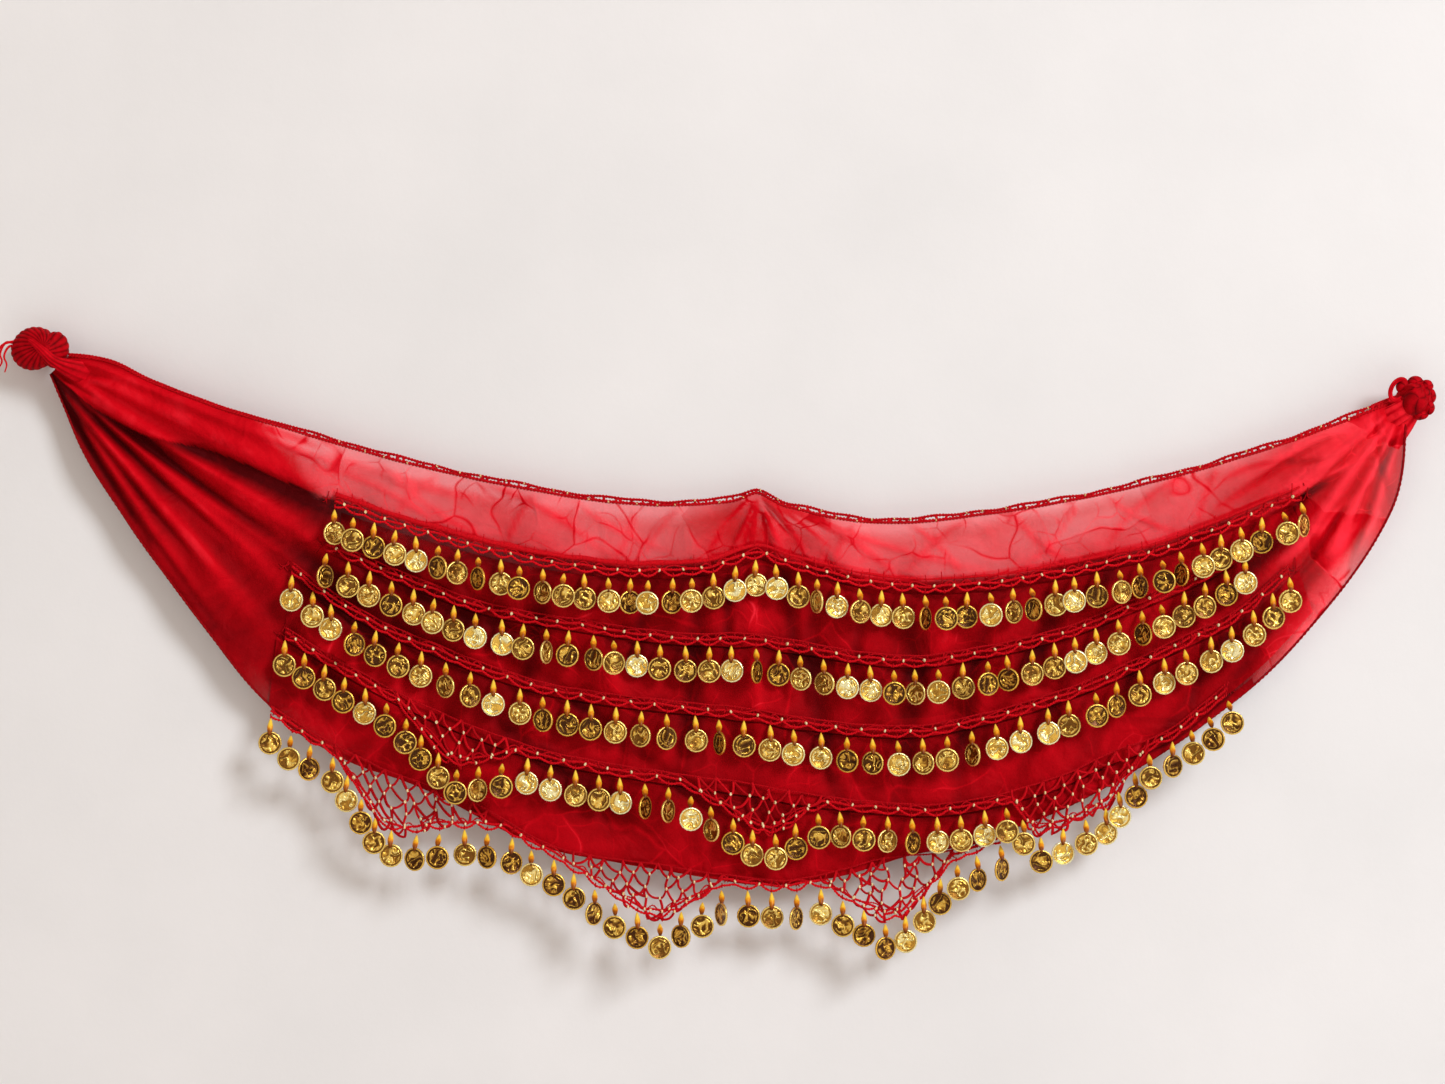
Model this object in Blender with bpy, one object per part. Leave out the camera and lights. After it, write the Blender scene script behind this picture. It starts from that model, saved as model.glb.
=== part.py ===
# Coin hip scarf: a chiffon crescent hung on a wall by its two knotted ends,
# with crochet rows that carry a bead and a coin on each drop.
# The wall is the plane Y = 0, the front faces -Y, and the origin is where the
# left pin meets the wall. The tables are in millimetres: x to the right, z up.
import math
import random

import bmesh
import bpy
import numpy as np
from mathutils import Vector
from mathutils.bvhtree import BVHTree

MM = 0.001
SHARP_ANGLE = 40.0          # degrees
SEAM = 0.35                # gap between pieces that touch
CLOTH_DEPTH = -22.0        # the cloth's middle surface, in front of the wall
CLOTH_WALL = 1.4
COLUMNS_PER_SECTION = 3
WAVES = ((97.0, 1.5, 31.0), (58.0, 1.0, -24.0))    # length along, height, slant

COIN_RADIUS = 8.8
COIN_THICK = 1.3
SHOULDER = 0.85            # half the coin's width at its shoulders, in radii
COIN_DROP = 17.2           # from the cord to the coin's middle
BEAD_DROP = 7.4
BEAD_WIDE = 5.0
BEAD_DEEP = 4.0
BEAD_TURN = 0.4            # a bead turns by this share of its coin's turn
CORD_WIDE = 2.6
CORD_THICK = 2.4
ROOT_WIDE = 2.8
LADDER = 10.5              # upper cord to lower cord
BEAD_SWING = 4.5           # the furthest that a bead swings forward of its cord
BEAD_FORWARD = 1.0         # drops swing clear of the cord and of each other
COIN_FORWARD = 4.1
NET_FORWARD = 2.5          # further still where a net point is steep
STEEP = 0.72               # rise over run past which the higher coin hangs nearer
STEEP_TURN = 0.2
NET_THREAD_WIDE = 1.2
NET_THREAD_STEP = 17.0
COIN_ROOM = 1.1            # coins nearer than this share of touching are staggered
TIER_GAP = 0.4
TIER_LIFT = 0.7            # a tier's upper edge stands a little prouder
TURNS = {"f": 0.0, "t": 30.0, "e": 56.0}
TURN_PLAY = 9.0

# waist x, waist z, outer edge x, outer edge z
SECTIONS = (
    (22, -5, 8, -18),
    (54, -10, 32, -75),
    (90, -27, 66, -129),
    (142, -46, 109, -188),
    (195, -62, 169, -263),
    (238, -75, 225, -302),
    (300, -91, 289, -326),
    (368, -105, 368, -366),
    (435, -115, 439, -382),
    (495, -116, 499, -392),
    (538, -109, 544, -398),
    (585, -124, 596, -392),
    (640, -130, 656, -375),
    (705, -124, 720, -362),
    (784, -111, 802, -326),
    (855, -94, 896, -263),
    (922, -74, 962, -197),
    (975, -55, 1014, -119),
    (1012, -40, 1024, -55),
)

# x, z along the upper cord of each crochet row
ROW_LINES = {
    "1": ((220, -109), (282, -130), (363, -151), (437, -161), (499, -159), (538, -148), (572, -158),
          (640, -172), (716, -170), (818, -151), (868, -135), (946, -103)),
    "2": ((214, -141), (274, -167), (337, -190), (412, -203), (478, -212), (538, -213), (601, -224),
          (657, -229), (718, -220), (770, -207), (817, -188), (871, -165), (904, -145)),
    "3": ((188, -158), (240, -194), (296, -220), (374, -248), (448, -260), (526, -268), (592, -278),
          (660, -281), (731, -266), (791, -245), (845, -220), (897, -194), (938, -158)),
    "4": ((183, -207), (242, -242), (306, -274), (380, -300), (455, -314), (527, -324), (594, -335),
          (676, -340), (750, -324), (802, -302), (848, -283), (891, -248)),
    "hem": ((172, -265), (196, -281), (254, -312), (320, -336), (387, -372), (460, -385), (540, -396),
            (577, -395), (631, -381), (682, -375), (722, -359)),
}

# one letter for each drop: f faces front, t is turned, e is nearly edge-on
ROW_DROPS = {
    "1": "tffffttefftffftftffffffeftffefffteffftttefffffe",
    "2": "efffffffffefttfffffefttffftffttfffffefffff",
    "3": "ffftfffttfftfffttfeffffttftfeffffftffffffef",
    "4": "fffffettfftffffffeefeffffftfteffffffffffttteef",
    "hem": "fftffftftffttfffeffftfeffeffftfftfte",
}

# row, start x, lowest from x, lowest to x, end x, depth below the row's lower cord
NET_POINTS = (
    ("4", 268, 306, 316, 362, 25),
    ("4", 482, 538, 548, 586, 26),
    ("4", 728, 748, 800, 830, 30),
    ("hem", 222, 258, 274, 350, 34),
    ("hem", 387, 455, 467, 512, 31),
    ("hem", 585, 634, 646, 684, 38),
)

# start x, start z, end x, end z, half width at the end, height
FOLDS = (
    (20, -4, 200, -72, 12, 7.0),
    (16, -10, 215, -104, 9, 5.0),
    (14, -14, 200, -140, 9, 6.0),
    (12, -16, 176, -170, 9, 5.0),
    (10, -18, 140, -176, 8, 5.5),
    (8, -18, 96, -150, 7, 4.5),
    (1012, -44, 900, -96, 9, 5.0),
    (1014, -46, 905, -130, 9, 6.0),
    (1016, -48, 925, -170, 9, 5.5),
    (1018, -50, 965, -160, 8, 6.0),
    (1022, -52, 996, -130, 7, 4.5),
    (538, -108, 478, -158, 8, 3.5),
    (538, -108, 520, -156, 6, 3.0),
    (538, -108, 556, -156, 6, 3.0),
    (538, -108, 610, -164, 8, 3.5),
)

PIN_RADIUS = 3.0
PIN_FLANGE_RADIUS = 8.0
PIN_FLANGE_THICK = 3.0
PIN_REACH = 22.0
PIN_CLEAR = 0.35

# name, centre x, centre z, width, depth, height, bumps, bump depth
KNOTS = (
    ("left_knot", -2.0, 1.0, 36.0, 30.0, 30.0, 5, 0.10),
    ("right_knot", 1031.0, -35.0, 33.0, 30.0, 30.0, 7, 0.14),
)
KNOT_MIDDLE = -23.0
NECK_BACK = 1.0            # the necks lie level with the cloth
NECK_LENGTH = 17.0
NECK_FLAT = 0.55


def smooth_points(points, steps):
    """Points along a Catmull-Rom curve through the given points."""
    found = []
    last = len(points) - 1
    for i in range(last):
        before = points[max(i - 1, 0)]
        start = points[i]
        end = points[i + 1]
        after = points[min(i + 2, last)]
        for step in range(steps):
            t = step / steps
            found.append(tuple(0.5 * (2 * b + (c - a) * t + (2 * a - 5 * b + 4 * c - d) * t ** 2
                                      + (3 * b - a - 3 * c + d) * t ** 3)
                               for a, b, c, d in zip(before, start, end, after)))
    found.append(tuple(float(v) for v in points[last]))
    return found


def height_on(line, x):
    """Height of a line of (x, z) points at x."""
    if x <= line[0][0]:
        return line[0][1] + (x - line[0][0]) * (line[1][1] - line[0][1]) / (line[1][0] - line[0][0])
    for (x0, z0), (x1, z1) in zip(line, line[1:]):
        if x <= x1:
            return z0 + (z1 - z0) * (x - x0) / (x1 - x0)
    (x0, z0), (x1, z1) = line[-2:]
    return z1 + (x - x1) * (z1 - z0) / (x1 - x0)


ROWS = {name: smooth_points(line, 6) for name, line in ROW_LINES.items()}
COLUMNS = smooth_points(SECTIONS, COLUMNS_PER_SECTION)


def material(name, colour, roughness, metallic=0.0):
    made = bpy.data.materials.new(name)
    made.use_nodes = True
    shader = made.node_tree.nodes["Principled BSDF"]
    shader.inputs["Base Color"].default_value = (*colour, 1.0)
    shader.inputs["Roughness"].default_value = roughness
    shader.inputs["Metallic"].default_value = metallic
    return made


def add_object(name, points, faces, finish):
    """One named solid from points in millimetres."""
    mesh = bpy.data.meshes.new(name)
    mesh.from_pydata([Vector(p) * MM for p in points], [], faces)
    mesh.materials.append(finish)
    shell = bmesh.new()
    shell.from_mesh(mesh)
    bmesh.ops.recalc_face_normals(shell, faces=shell.faces)
    shell.to_mesh(mesh)
    shell.free()
    thing = bpy.data.objects.new(name, mesh)
    bpy.context.scene.collection.objects.link(thing)
    mesh.shade_smooth()
    mesh.set_sharp_from_angle(angle=math.radians(SHARP_ANGLE))
    return thing


# The cloth's surface

def fold_height(x, z):
    """How far the folds push the cloth to the front at a place."""
    total = 0.0
    for x0, z0, x1, z1, half_width, height in FOLDS:
        along_x, along_z = x1 - x0, z1 - z0
        length = math.hypot(along_x, along_z)
        t = ((x - x0) * along_x + (z - z0) * along_z) / length ** 2
        aside = abs((x - x0) * along_z - (z - z0) * along_x) / length
        if not 0.0 < t < 1.35:
            continue
        half = half_width * (0.35 + 0.65 * min(t, 1.0))
        fade = min(t / 0.15, 1.0) * min(max((1.35 - t) / 0.5, 0.0), 1.0)
        total += height * fade * math.exp(-(aside / half) ** 2)
    return total


def wave_height(x, z):
    return sum(height * math.sin(math.tau * x / length + z / slant) for length, height, slant in WAVES)


def surface(x, z):
    return CLOTH_DEPTH - fold_height(x, z) - wave_height(x, z)


def crossing(column, line):
    """How far down a column its crossing with a row lies, from 0 to 1."""
    x0, z0, x1, z1 = column
    low, high = 0.0, 1.0
    for _ in range(24):
        t = (low + high) / 2
        if z0 + (z1 - z0) * t > height_on(line, x0 + (x1 - x0) * t):
            low = t
        else:
            high = t
    return (low + high) / 2


def row_shares():
    """For each column, how far down it each of rows 1 to 4 runs."""
    shares = [[0.0] * 4 for _ in COLUMNS]
    spans = []
    last = len(COLUMNS) - 1
    for row in range(4):
        line = ROWS[str(row + 1)]
        inside = [i for i, column in enumerate(COLUMNS)
                  if line[0][0] <= (column[0] + column[2]) / 2 <= line[-1][0]]
        first, final = inside[0], inside[-1]
        even = (row + 1) / 5
        for i, column in enumerate(COLUMNS):
            if i < first:
                share = even + (crossing(COLUMNS[first], line) - even) * i / first
            elif i > final:
                share = even + (crossing(COLUMNS[final], line) - even) * (last - i) / (last - final)
            else:
                share = crossing(column, line)
            shares[i][row] = share
        spans.append((first, final))
    return shares, spans


def at_share(column, share):
    x0, z0, x1, z1 = column
    return x0 + (x1 - x0) * share, z0 + (z1 - z0) * share


def sheet(name, grid, back, wall, finish):
    """A wall over a grid of (x, z, depth) points; back is its rear face's offset."""
    wide, tall = len(grid), len(grid[0])
    points = []
    for offset in (back, back - wall):
        points += [(x, y + offset, z) for column in grid for x, z, y in column]
    side = wide * tall

    def at(i, j, layer):
        return layer * side + i * tall + j

    faces = []
    for i in range(wide - 1):
        for j in range(tall - 1):
            for layer in (0, 1):
                here, across = at(i, j, layer), at(i + 1, j + 1, layer)
                faces += [(here, at(i + 1, j, layer), across), (here, across, at(i, j + 1, layer))]
    rim = [(i, 0) for i in range(wide)] + [(wide - 1, j) for j in range(1, tall)]
    rim += [(i, tall - 1) for i in range(wide - 2, -1, -1)] + [(0, j) for j in range(tall - 2, 0, -1)]
    for (i, j), (k, m) in zip(rim, rim[1:] + rim[:1]):
        faces.append((at(i, j, 0), at(i, j, 1), at(k, m, 1), at(k, m, 0)))
    return add_object(name, points, faces, finish)


def make_cloth(red, deep_red):
    """The crescent, and four tiers made from its own points, moved out."""
    shares, spans = row_shares()
    grid = []
    for column, rows in zip(COLUMNS, shares):
        stops = [0.0, rows[0] / 3, rows[0] * 2 / 3]
        for upper, lower in zip(rows, rows[1:] + [1.0]):
            stops += [upper, (upper + lower) / 2]
        grid.append([(*at_share(column, share), surface(*at_share(column, share)))
                     for share in stops + [1.0]])
    cloth = [sheet("ground_cloth", grid, CLOTH_WALL / 2, CLOTH_WALL, red)]
    for row, (first, final) in enumerate(spans):
        top = 3 + 2 * row
        band = []
        for i in range(first, final + 1):
            upper, middle, lower = grid[i][top:top + 3]
            share = min(LADDER / math.dist(upper[:2], middle[:2]), 0.75)
            x, z, y = (a + (b - a) * share for a, b in zip(upper, middle))
            band.append([(x, z, y - TIER_LIFT), middle, lower])
        cloth.append(sheet("tier_%d" % (row + 1), band, -CLOTH_WALL / 2 - TIER_GAP, CLOTH_WALL, deep_red))
    return cloth, grid


class Front:
    """The front-most surface of what has been made so far."""

    def __init__(self):
        self.points = []
        self.faces = []
        self.tree = None
        self.corners = None

    def add(self, thing):
        start = len(self.points)
        self.points += [v.co / MM for v in thing.data.vertices]
        self.faces += [tuple(start + i for i in face.vertices) for face in thing.data.polygons]
        self.tree = BVHTree.FromPolygons(self.points, self.faces)
        self.corners = np.array(self.points)

    def depth(self, x0, x1, z0, z1, step=1.2):
        """The front-most depth within a rectangle, or None off the part."""
        x, y, z = self.corners.T
        found = list(y[(x > x0) & (x < x1) & (z > z0) & (z < z1)])
        across = max(2, math.ceil((x1 - x0) / step) + 1)
        up = max(2, math.ceil((z1 - z0) / step) + 1)
        for i in range(across):
            for j in range(up):
                x = x0 + (x1 - x0) * i / (across - 1)
                z = z0 + (z1 - z0) * j / (up - 1)
                hit = self.tree.ray_cast(Vector((x, -200.0, z)), Vector((0, 1, 0)))[0]
                if hit is not None:
                    found.append(hit.y)
        return min(found) if found else None


# The crochet rows

def net_dip(row, x):
    """How far a net point takes the lower cord below its usual line."""
    for name, start, low_from, low_to, end, depth in NET_POINTS:
        if name == row and start < x < end:
            if x < low_from:
                return depth * (x - start) / (low_from - start)
            if x > low_to:
                return depth * (end - x) / (end - low_to)
            return depth
    return 0.0


def drop_places(row, line, letters):
    """Even steps along the lower cord, each with a little play."""
    chance = random.Random("drops " + row)
    fine = []
    x = line[0][0] + 2.0
    while x < line[-1][0] - 2.0:
        fine.append((x, height_on(line, x) - LADDER - net_dip(row, x)))
        x += 0.5
    lengths = [0.0]
    for a, b in zip(fine, fine[1:]):
        lengths.append(lengths[-1] + math.dist(a, b))
    places = []
    for i in range(len(letters)):
        play = chance.uniform(-0.08, 0.08) if 0 < i < len(letters) - 1 else 0.0
        wanted = lengths[-1] * (i + play) / (len(letters) - 1)
        nearest = min(range(len(fine)), key=lambda n: abs(lengths[n] - wanted))
        places.append(fine[nearest])
    return places


def is_steep(a, b):
    return abs(a[1] - b[1]) > STEEP * abs(a[0] - b[0])


def coin_turns(row, letters, places):
    """Each coin's turn about the vertical; coins on a steep line hang closer, so they turn less."""
    chance = random.Random("turns " + row)
    turns = []
    for i, letter in enumerate(letters):
        turn = (TURNS[letter] + chance.uniform(-TURN_PLAY, TURN_PLAY)) * chance.choice((-1, 1))
        beside = [places[n] for n in (i - 1, i + 1) if 0 <= n < len(places)]
        if any(is_steep(places[i], other) for other in beside):
            turn *= STEEP_TURN
        turns.append(math.radians(turn))
    return turns


def coin_depths(row, front, places, turns, cord_depths):
    """Coins that would meet are staggered: the odd one, or on a steep line the higher one, is nearer."""
    half_wide = [COIN_RADIUS * abs(math.cos(a)) + COIN_THICK * abs(math.sin(a)) for a in turns]
    half_deep = [COIN_RADIUS * abs(math.sin(a)) + COIN_THICK / 2 * abs(math.cos(a)) for a in turns]
    depths = []
    for i, ((x, z), cord) in enumerate(zip(places, cord_depths)):
        top = z - COIN_DROP + COIN_RADIUS + 1.5
        limit = front.depth(x - half_wide[i] - 0.8, x + half_wide[i] + 0.8,
                            top - 2 * COIN_RADIUS - 2.5, top)
        depth = cord - COIN_FORWARD - half_deep[i] + COIN_THICK / 2
        if net_dip(row, x) > 0:
            depth -= NET_FORWARD
        if limit is not None:
            depth = min(depth, limit - SEAM - half_deep[i])
        depths.append(depth)
    pairs = []
    for i in range(len(places) - 1):
        gap_x = abs(places[i + 1][0] - places[i][0])
        gap_z = abs(places[i + 1][1] - places[i][1])
        share_x = gap_x / (half_wide[i] + half_wide[i + 1] + 0.5)
        share_z = gap_z / (2 * COIN_RADIUS + 0.5)
        if share_x ** 2 + share_z ** 2 > COIN_ROOM:
            continue
        if is_steep(places[i], places[i + 1]):
            first_in_front = places[i][1] > places[i + 1][1]
        else:
            first_in_front = i % 2 == 1
        pairs.append((i, i + 1) if first_in_front else (i + 1, i))
    for _ in places:
        for near, far in pairs:
            depths[near] = min(depths[near], depths[far] - half_deep[far] - half_deep[near] - SEAM)
    return depths


def ring(x, y, z, half_wide, half_deep, turn):
    """Front left, front right, back right, back left corners, turned about the vertical."""
    c, s = math.cos(turn), math.sin(turn)
    return [(x + a * half_wide * c - b * half_deep * s, y + a * half_wide * s + b * half_deep * c, z)
            for a, b in ((-1, -1), (1, -1), (1, 1), (-1, 1))]


class Lace:
    """A crochet row as one closed body: two cords, rungs and drops."""

    def __init__(self):
        self.points = []
        self.faces = []

    def put(self, corners):
        start = len(self.points)
        self.points += corners
        return list(range(start, start + len(corners)))

    def section(self, x, y, z):
        """Top front, bottom front, bottom back, top back of a cord."""
        half_wide, half_thick = CORD_WIDE / 2, CORD_THICK / 2
        return self.put([(x, y - half_thick, z + half_wide), (x, y - half_thick, z - half_wide),
                         (x, y + half_thick, z - half_wide), (x, y + half_thick, z + half_wide)])

    def between(self, a, b, open_top=False, open_bottom=False):
        for side in range(4):
            if (side == 1 and open_bottom) or (side == 3 and open_top):
                continue
            nxt = (side + 1) % 4
            self.faces.append((a[side], a[nxt], b[nxt], b[side]))

    def cap(self, section, first):
        self.faces.append(tuple(reversed(section)) if first else tuple(section))

    def loft(self, upper, lower):
        for side in range(4):
            nxt = (side + 1) % 4
            self.faces.append((upper[side], lower[side], lower[nxt], upper[nxt]))

    def drop(self, root, x, z, bead_y, coin_y, turn):
        bead = self.put(ring(x, bead_y, z - BEAD_DROP, BEAD_WIDE / 2, BEAD_DEEP / 2, turn * BEAD_TURN))
        shoulders = []
        for height in (0.5, -0.5):
            shoulders.append(self.put(ring(x, coin_y, z - COIN_DROP + COIN_RADIUS * height,
                                           COIN_RADIUS * SHOULDER, COIN_THICK / 2, turn)))
        foot = ring(x, coin_y, z - COIN_DROP - COIN_RADIUS, 0.0, COIN_THICK / 2, turn)
        front, back = self.put([foot[0], foot[2]])
        self.loft(root, bead)
        self.loft(bead, shoulders[0])
        self.loft(shoulders[0], shoulders[1])
        left_front, right_front, right_back, left_back = shoulders[1]
        self.faces += [(left_front, front, right_front), (left_back, right_back, back),
                       (right_front, front, back, right_back), (left_back, back, front, left_front)]


def rung_places(row, places):
    """Every second drop, and each drop of a net point, carries a rung; so do both ends."""
    last = len(places) - 1
    return [i for i, (x, z) in enumerate(places)
            if i % 2 == 0 or i == last or net_dip(row, x) > 4.0]


def make_row(row, letters, front, thread):
    line = ROWS[row]
    places = drop_places(row, line, letters)
    turns = coin_turns(row, letters, places)
    rungs = rung_places(row, places)
    lace = Lace()
    half_root = ROOT_WIDE / 2
    reach = [0.0] * len(places)
    for i, (x, z) in enumerate(places):
        near = [abs(places[n][0] - x) for n in (i - 1, i + 1) if 0 <= n < len(places)]
        reach[i] = max(near) + half_root

    upper_depth = {}
    for n, i in enumerate(rungs):
        x = places[i][0]
        ends = [places[k][0] for k in rungs[max(n - 1, 0):n + 2]]
        z = height_on(line, x)
        tops = [height_on(line, v) for v in ends]
        found = front.depth(min(ends) - half_root, max(ends) + half_root,
                            min(tops) - CORD_WIDE, max(tops) + CORD_WIDE)
        upper_depth[i] = found - SEAM - CORD_THICK / 2

    cord_depths = []
    for i, (x, z) in enumerate(places):
        nearest = min(rungs, key=lambda n: abs(n - i))
        low = min(places[n][1] for n in range(max(i - 1, 0), min(i + 2, len(places))))
        high = height_on(line, x) if i in rungs else z
        found = front.depth(x - reach[i], x + reach[i], low - CORD_WIDE, max(high, z) + CORD_WIDE)
        depth = upper_depth[nearest]
        if found is not None:
            depth = min(depth + 1.5, found - SEAM - CORD_THICK / 2)
        cord_depths.append(depth)

    coins = coin_depths(row, front, places, turns, cord_depths)
    lower_last = upper_last = None
    for i, (x, z) in enumerate(places):
        y = cord_depths[i]
        a = lace.section(x - half_root, y, z)
        b = lace.section(x + half_root, y, z)
        has_rung = i in rungs
        lace.between(a, b, open_top=has_rung, open_bottom=True)
        if lower_last is None:
            lace.cap(a, True)
        else:
            lace.between(lower_last, a)
        lower_last = b
        limit = front.depth(x - BEAD_WIDE, x + BEAD_WIDE, z - BEAD_DROP - 5, z)
        bead_y = min(y - BEAD_FORWARD, max(coins[i] + COIN_FORWARD - BEAD_FORWARD, y - BEAD_SWING))
        if net_dip(row, x) > 0:
            bead_y = min(bead_y, y - BEAD_FORWARD - NET_FORWARD)
        if limit is not None:
            bead_turn = turns[i] * BEAD_TURN
            bead_deep = BEAD_WIDE / 2 * abs(math.sin(bead_turn)) + BEAD_DEEP / 2 * math.cos(bead_turn)
            bead_y = min(bead_y, limit - SEAM - bead_deep)
        lace.drop((a[1], b[1], b[2], a[2]), x, z, bead_y, coins[i], turns[i])
        if has_rung:
            top = height_on(line, x)
            c = lace.section(x - half_root, upper_depth[i], top)
            d = lace.section(x + half_root, upper_depth[i], top)
            lace.between(c, d, open_bottom=True)
            lace.loft((c[1], d[1], d[2], c[2]), (a[0], b[0], b[3], a[3]))
            if upper_last is None:
                lace.cap(c, True)
            else:
                lace.between(upper_last, c)
            upper_last = d
    lace.cap(lower_last, False)
    lace.cap(upper_last, False)
    return add_object("coin_row_" + row, lace.points, lace.faces, thread)


def make_net_thread(name, net, front, thread):
    """A thread across the rungs of a net point, halfway down it, clear of the drops beside it."""
    row, start, low_from, low_to, end, depth = net
    line = ROWS[row]
    left = start + (low_from - start) / 2 + COIN_RADIUS
    right = end - (end - low_to) / 2 - COIN_RADIUS
    steps = max(2, round((right - left) / NET_THREAD_STEP))
    places = [left + (right - left) * i / steps for i in range(steps + 1)]
    heights = [height_on(line, x) - LADDER - depth / 2 for x in places]
    half = NET_THREAD_WIDE / 2
    spans = []
    for i in range(steps):
        low, high = sorted(heights[i:i + 2])
        spans.append(front.depth(places[i] - 1.0, places[i + 1] + 1.0, low - half - 0.3, high + half + 0.3))
    points, faces = [], []
    for i, (x, z) in enumerate(zip(places, heights)):
        y = min(spans[max(i - 1, 0):i + 1]) - SEAM - half
        points += [(x, y - half, z + half), (x, y - half, z - half),
                   (x, y + half, z - half), (x, y + half, z + half)]
    for i in range(steps):
        for side in range(4):
            nxt = (side + 1) % 4
            faces.append((4 * i + side, 4 * i + nxt, 4 * i + 4 + nxt, 4 * i + 4 + side))
    faces += [(3, 2, 1, 0), (4 * steps, 4 * steps + 1, 4 * steps + 2, 4 * steps + 3)]
    return add_object(name, points, faces, thread)


def make_edging(grid, thread):
    """The double crochet cord along the waist, 6.5 mm high, just above the cloth's edge."""
    height, thick = 6.5, 2.6
    points, faces = [], []
    edge = [column[0] for column in grid]
    for i, (x, z, y) in enumerate(edge):
        near, far = edge[max(i - 1, 0)], edge[min(i + 1, len(edge) - 1)]
        length = math.hypot(far[0] - near[0], far[1] - near[1])
        up_x, up_z = -(far[1] - near[1]) / length, (far[0] - near[0]) / length
        for out, side in ((SEAM, -1), (SEAM + height, -1), (SEAM + height, 1), (SEAM, 1)):
            points.append((x + up_x * out, y + side * thick / 2, z + up_z * out))
    for i in range(len(edge) - 1):
        for side in range(4):
            nxt = (side + 1) % 4
            faces.append((4 * i + side, 4 * i + nxt, 4 * i + 4 + nxt, 4 * i + 4 + side))
    faces.append((3, 2, 1, 0))
    last = 4 * (len(edge) - 1)
    faces.append((last, last + 1, last + 2, last + 3))
    return add_object("waist_edging", points, faces, thread)


# The knots and pins

def ball(x, z, width, depth, height, bumps, bump_depth):
    """A knot: a ball whose wraps stand up as lobes; points and faces."""
    around, up = 14, 8
    points = [(x, KNOT_MIDDLE, z + height / 2)]
    for j in range(1, up):
        lift = math.pi * j / up
        for i in range(around):
            turn = math.tau * i / around
            lobe = 1.0 + bump_depth * math.cos(bumps * turn + 2.2 * lift)
            points.append((x + width / 2 * lobe * math.sin(lift) * math.cos(turn),
                           KNOT_MIDDLE + depth / 2 * lobe * math.sin(lift) * math.sin(turn),
                           z + height / 2 * math.cos(lift)))
    points.append((x, KNOT_MIDDLE, z - height / 2))
    bottom = len(points) - 1
    faces = []
    for i in range(around):
        nxt = (i + 1) % around
        faces.append((0, 1 + i, 1 + nxt))
        for j in range(up - 2):
            a, b = 1 + j * around, 1 + (j + 1) * around
            faces.append((a + i, b + i, b + nxt, a + nxt))
        last = 1 + (up - 2) * around
        faces.append((last + i, bottom, last + nxt))
    return points, faces


def strand(path, radii, sides, flat=1.0):
    """A tapered tube along a path of (x, y, z), flattened in depth; points and faces."""
    points, faces = [], []
    for n, (place, radius) in enumerate(zip(path, radii)):
        ahead = Vector(path[min(n + 1, len(path) - 1)]) - Vector(path[max(n - 1, 0)])
        ahead.normalize()
        side = ahead.cross(Vector((0, 1, 0))).normalized()
        out = side.cross(ahead)
        for i in range(sides):
            turn = math.tau * (i + 0.5) / sides
            away = side * math.cos(turn) + out * flat * math.sin(turn)
            points.append(tuple(Vector(place) + away * radius))
    for n in range(len(path) - 1):
        for i in range(sides):
            nxt = (i + 1) % sides
            a, b = n * sides, (n + 1) * sides
            faces.append((a + i, a + nxt, b + nxt, b + i))
    faces.append(tuple(reversed(range(sides))))
    faces.append(tuple(range(len(points) - sides, len(points))))
    return points, faces


def combine(thing, other, operation):
    """Apply a Boolean with another object, which is then removed."""
    step = thing.modifiers.new("join", "BOOLEAN")
    step.operation = operation
    step.solver = "EXACT"
    step.object = other
    ready = bpy.context.evaluated_depsgraph_get()
    ready.update()
    mesh = bpy.data.meshes.new_from_object(thing.evaluated_get(ready))
    thing.modifiers.remove(step)
    old = thing.data
    thing.data = mesh
    bpy.data.meshes.remove(old)
    bpy.data.objects.remove(other)


def pin_hole(x, z, finish):
    """The socket that a pin leaves in its knot, as a cutter."""
    radius = PIN_RADIUS + PIN_CLEAR
    points, faces = round_bar(5.0, -PIN_REACH - PIN_CLEAR, [(0.0, radius), (1.0, radius)], x, z)
    return add_object("pin_hole", points, faces, finish)


def round_bar(y_start, y_end, profile, x, z, sides=12):
    """A turned bar along Y from (share along, radius) stations; points and faces."""
    points, faces = [], []
    for share, radius in profile:
        y = y_start + (y_end - y_start) * share
        points += [(x + radius * math.cos(math.tau * i / sides), y, z + radius * math.sin(math.tau * i / sides))
                   for i in range(sides)]
    for n in range(len(profile) - 1):
        for i in range(sides):
            nxt = (i + 1) % sides
            a, b = n * sides, (n + 1) * sides
            faces.append((a + i, a + nxt, b + nxt, b + i))
    faces.append(tuple(reversed(range(sides))))
    faces.append(tuple(range(len(points) - sides, len(points))))
    return points, faces


def make_pin(name, x, z, finish):
    flange = PIN_FLANGE_THICK / PIN_REACH
    profile = [(0.0, PIN_FLANGE_RADIUS), (flange, PIN_FLANGE_RADIUS), (flange, PIN_RADIUS), (1.0, PIN_RADIUS)]
    points, faces = round_bar(0.0, -PIN_REACH, profile, x, z)
    return add_object(name, points, faces, finish)


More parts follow.
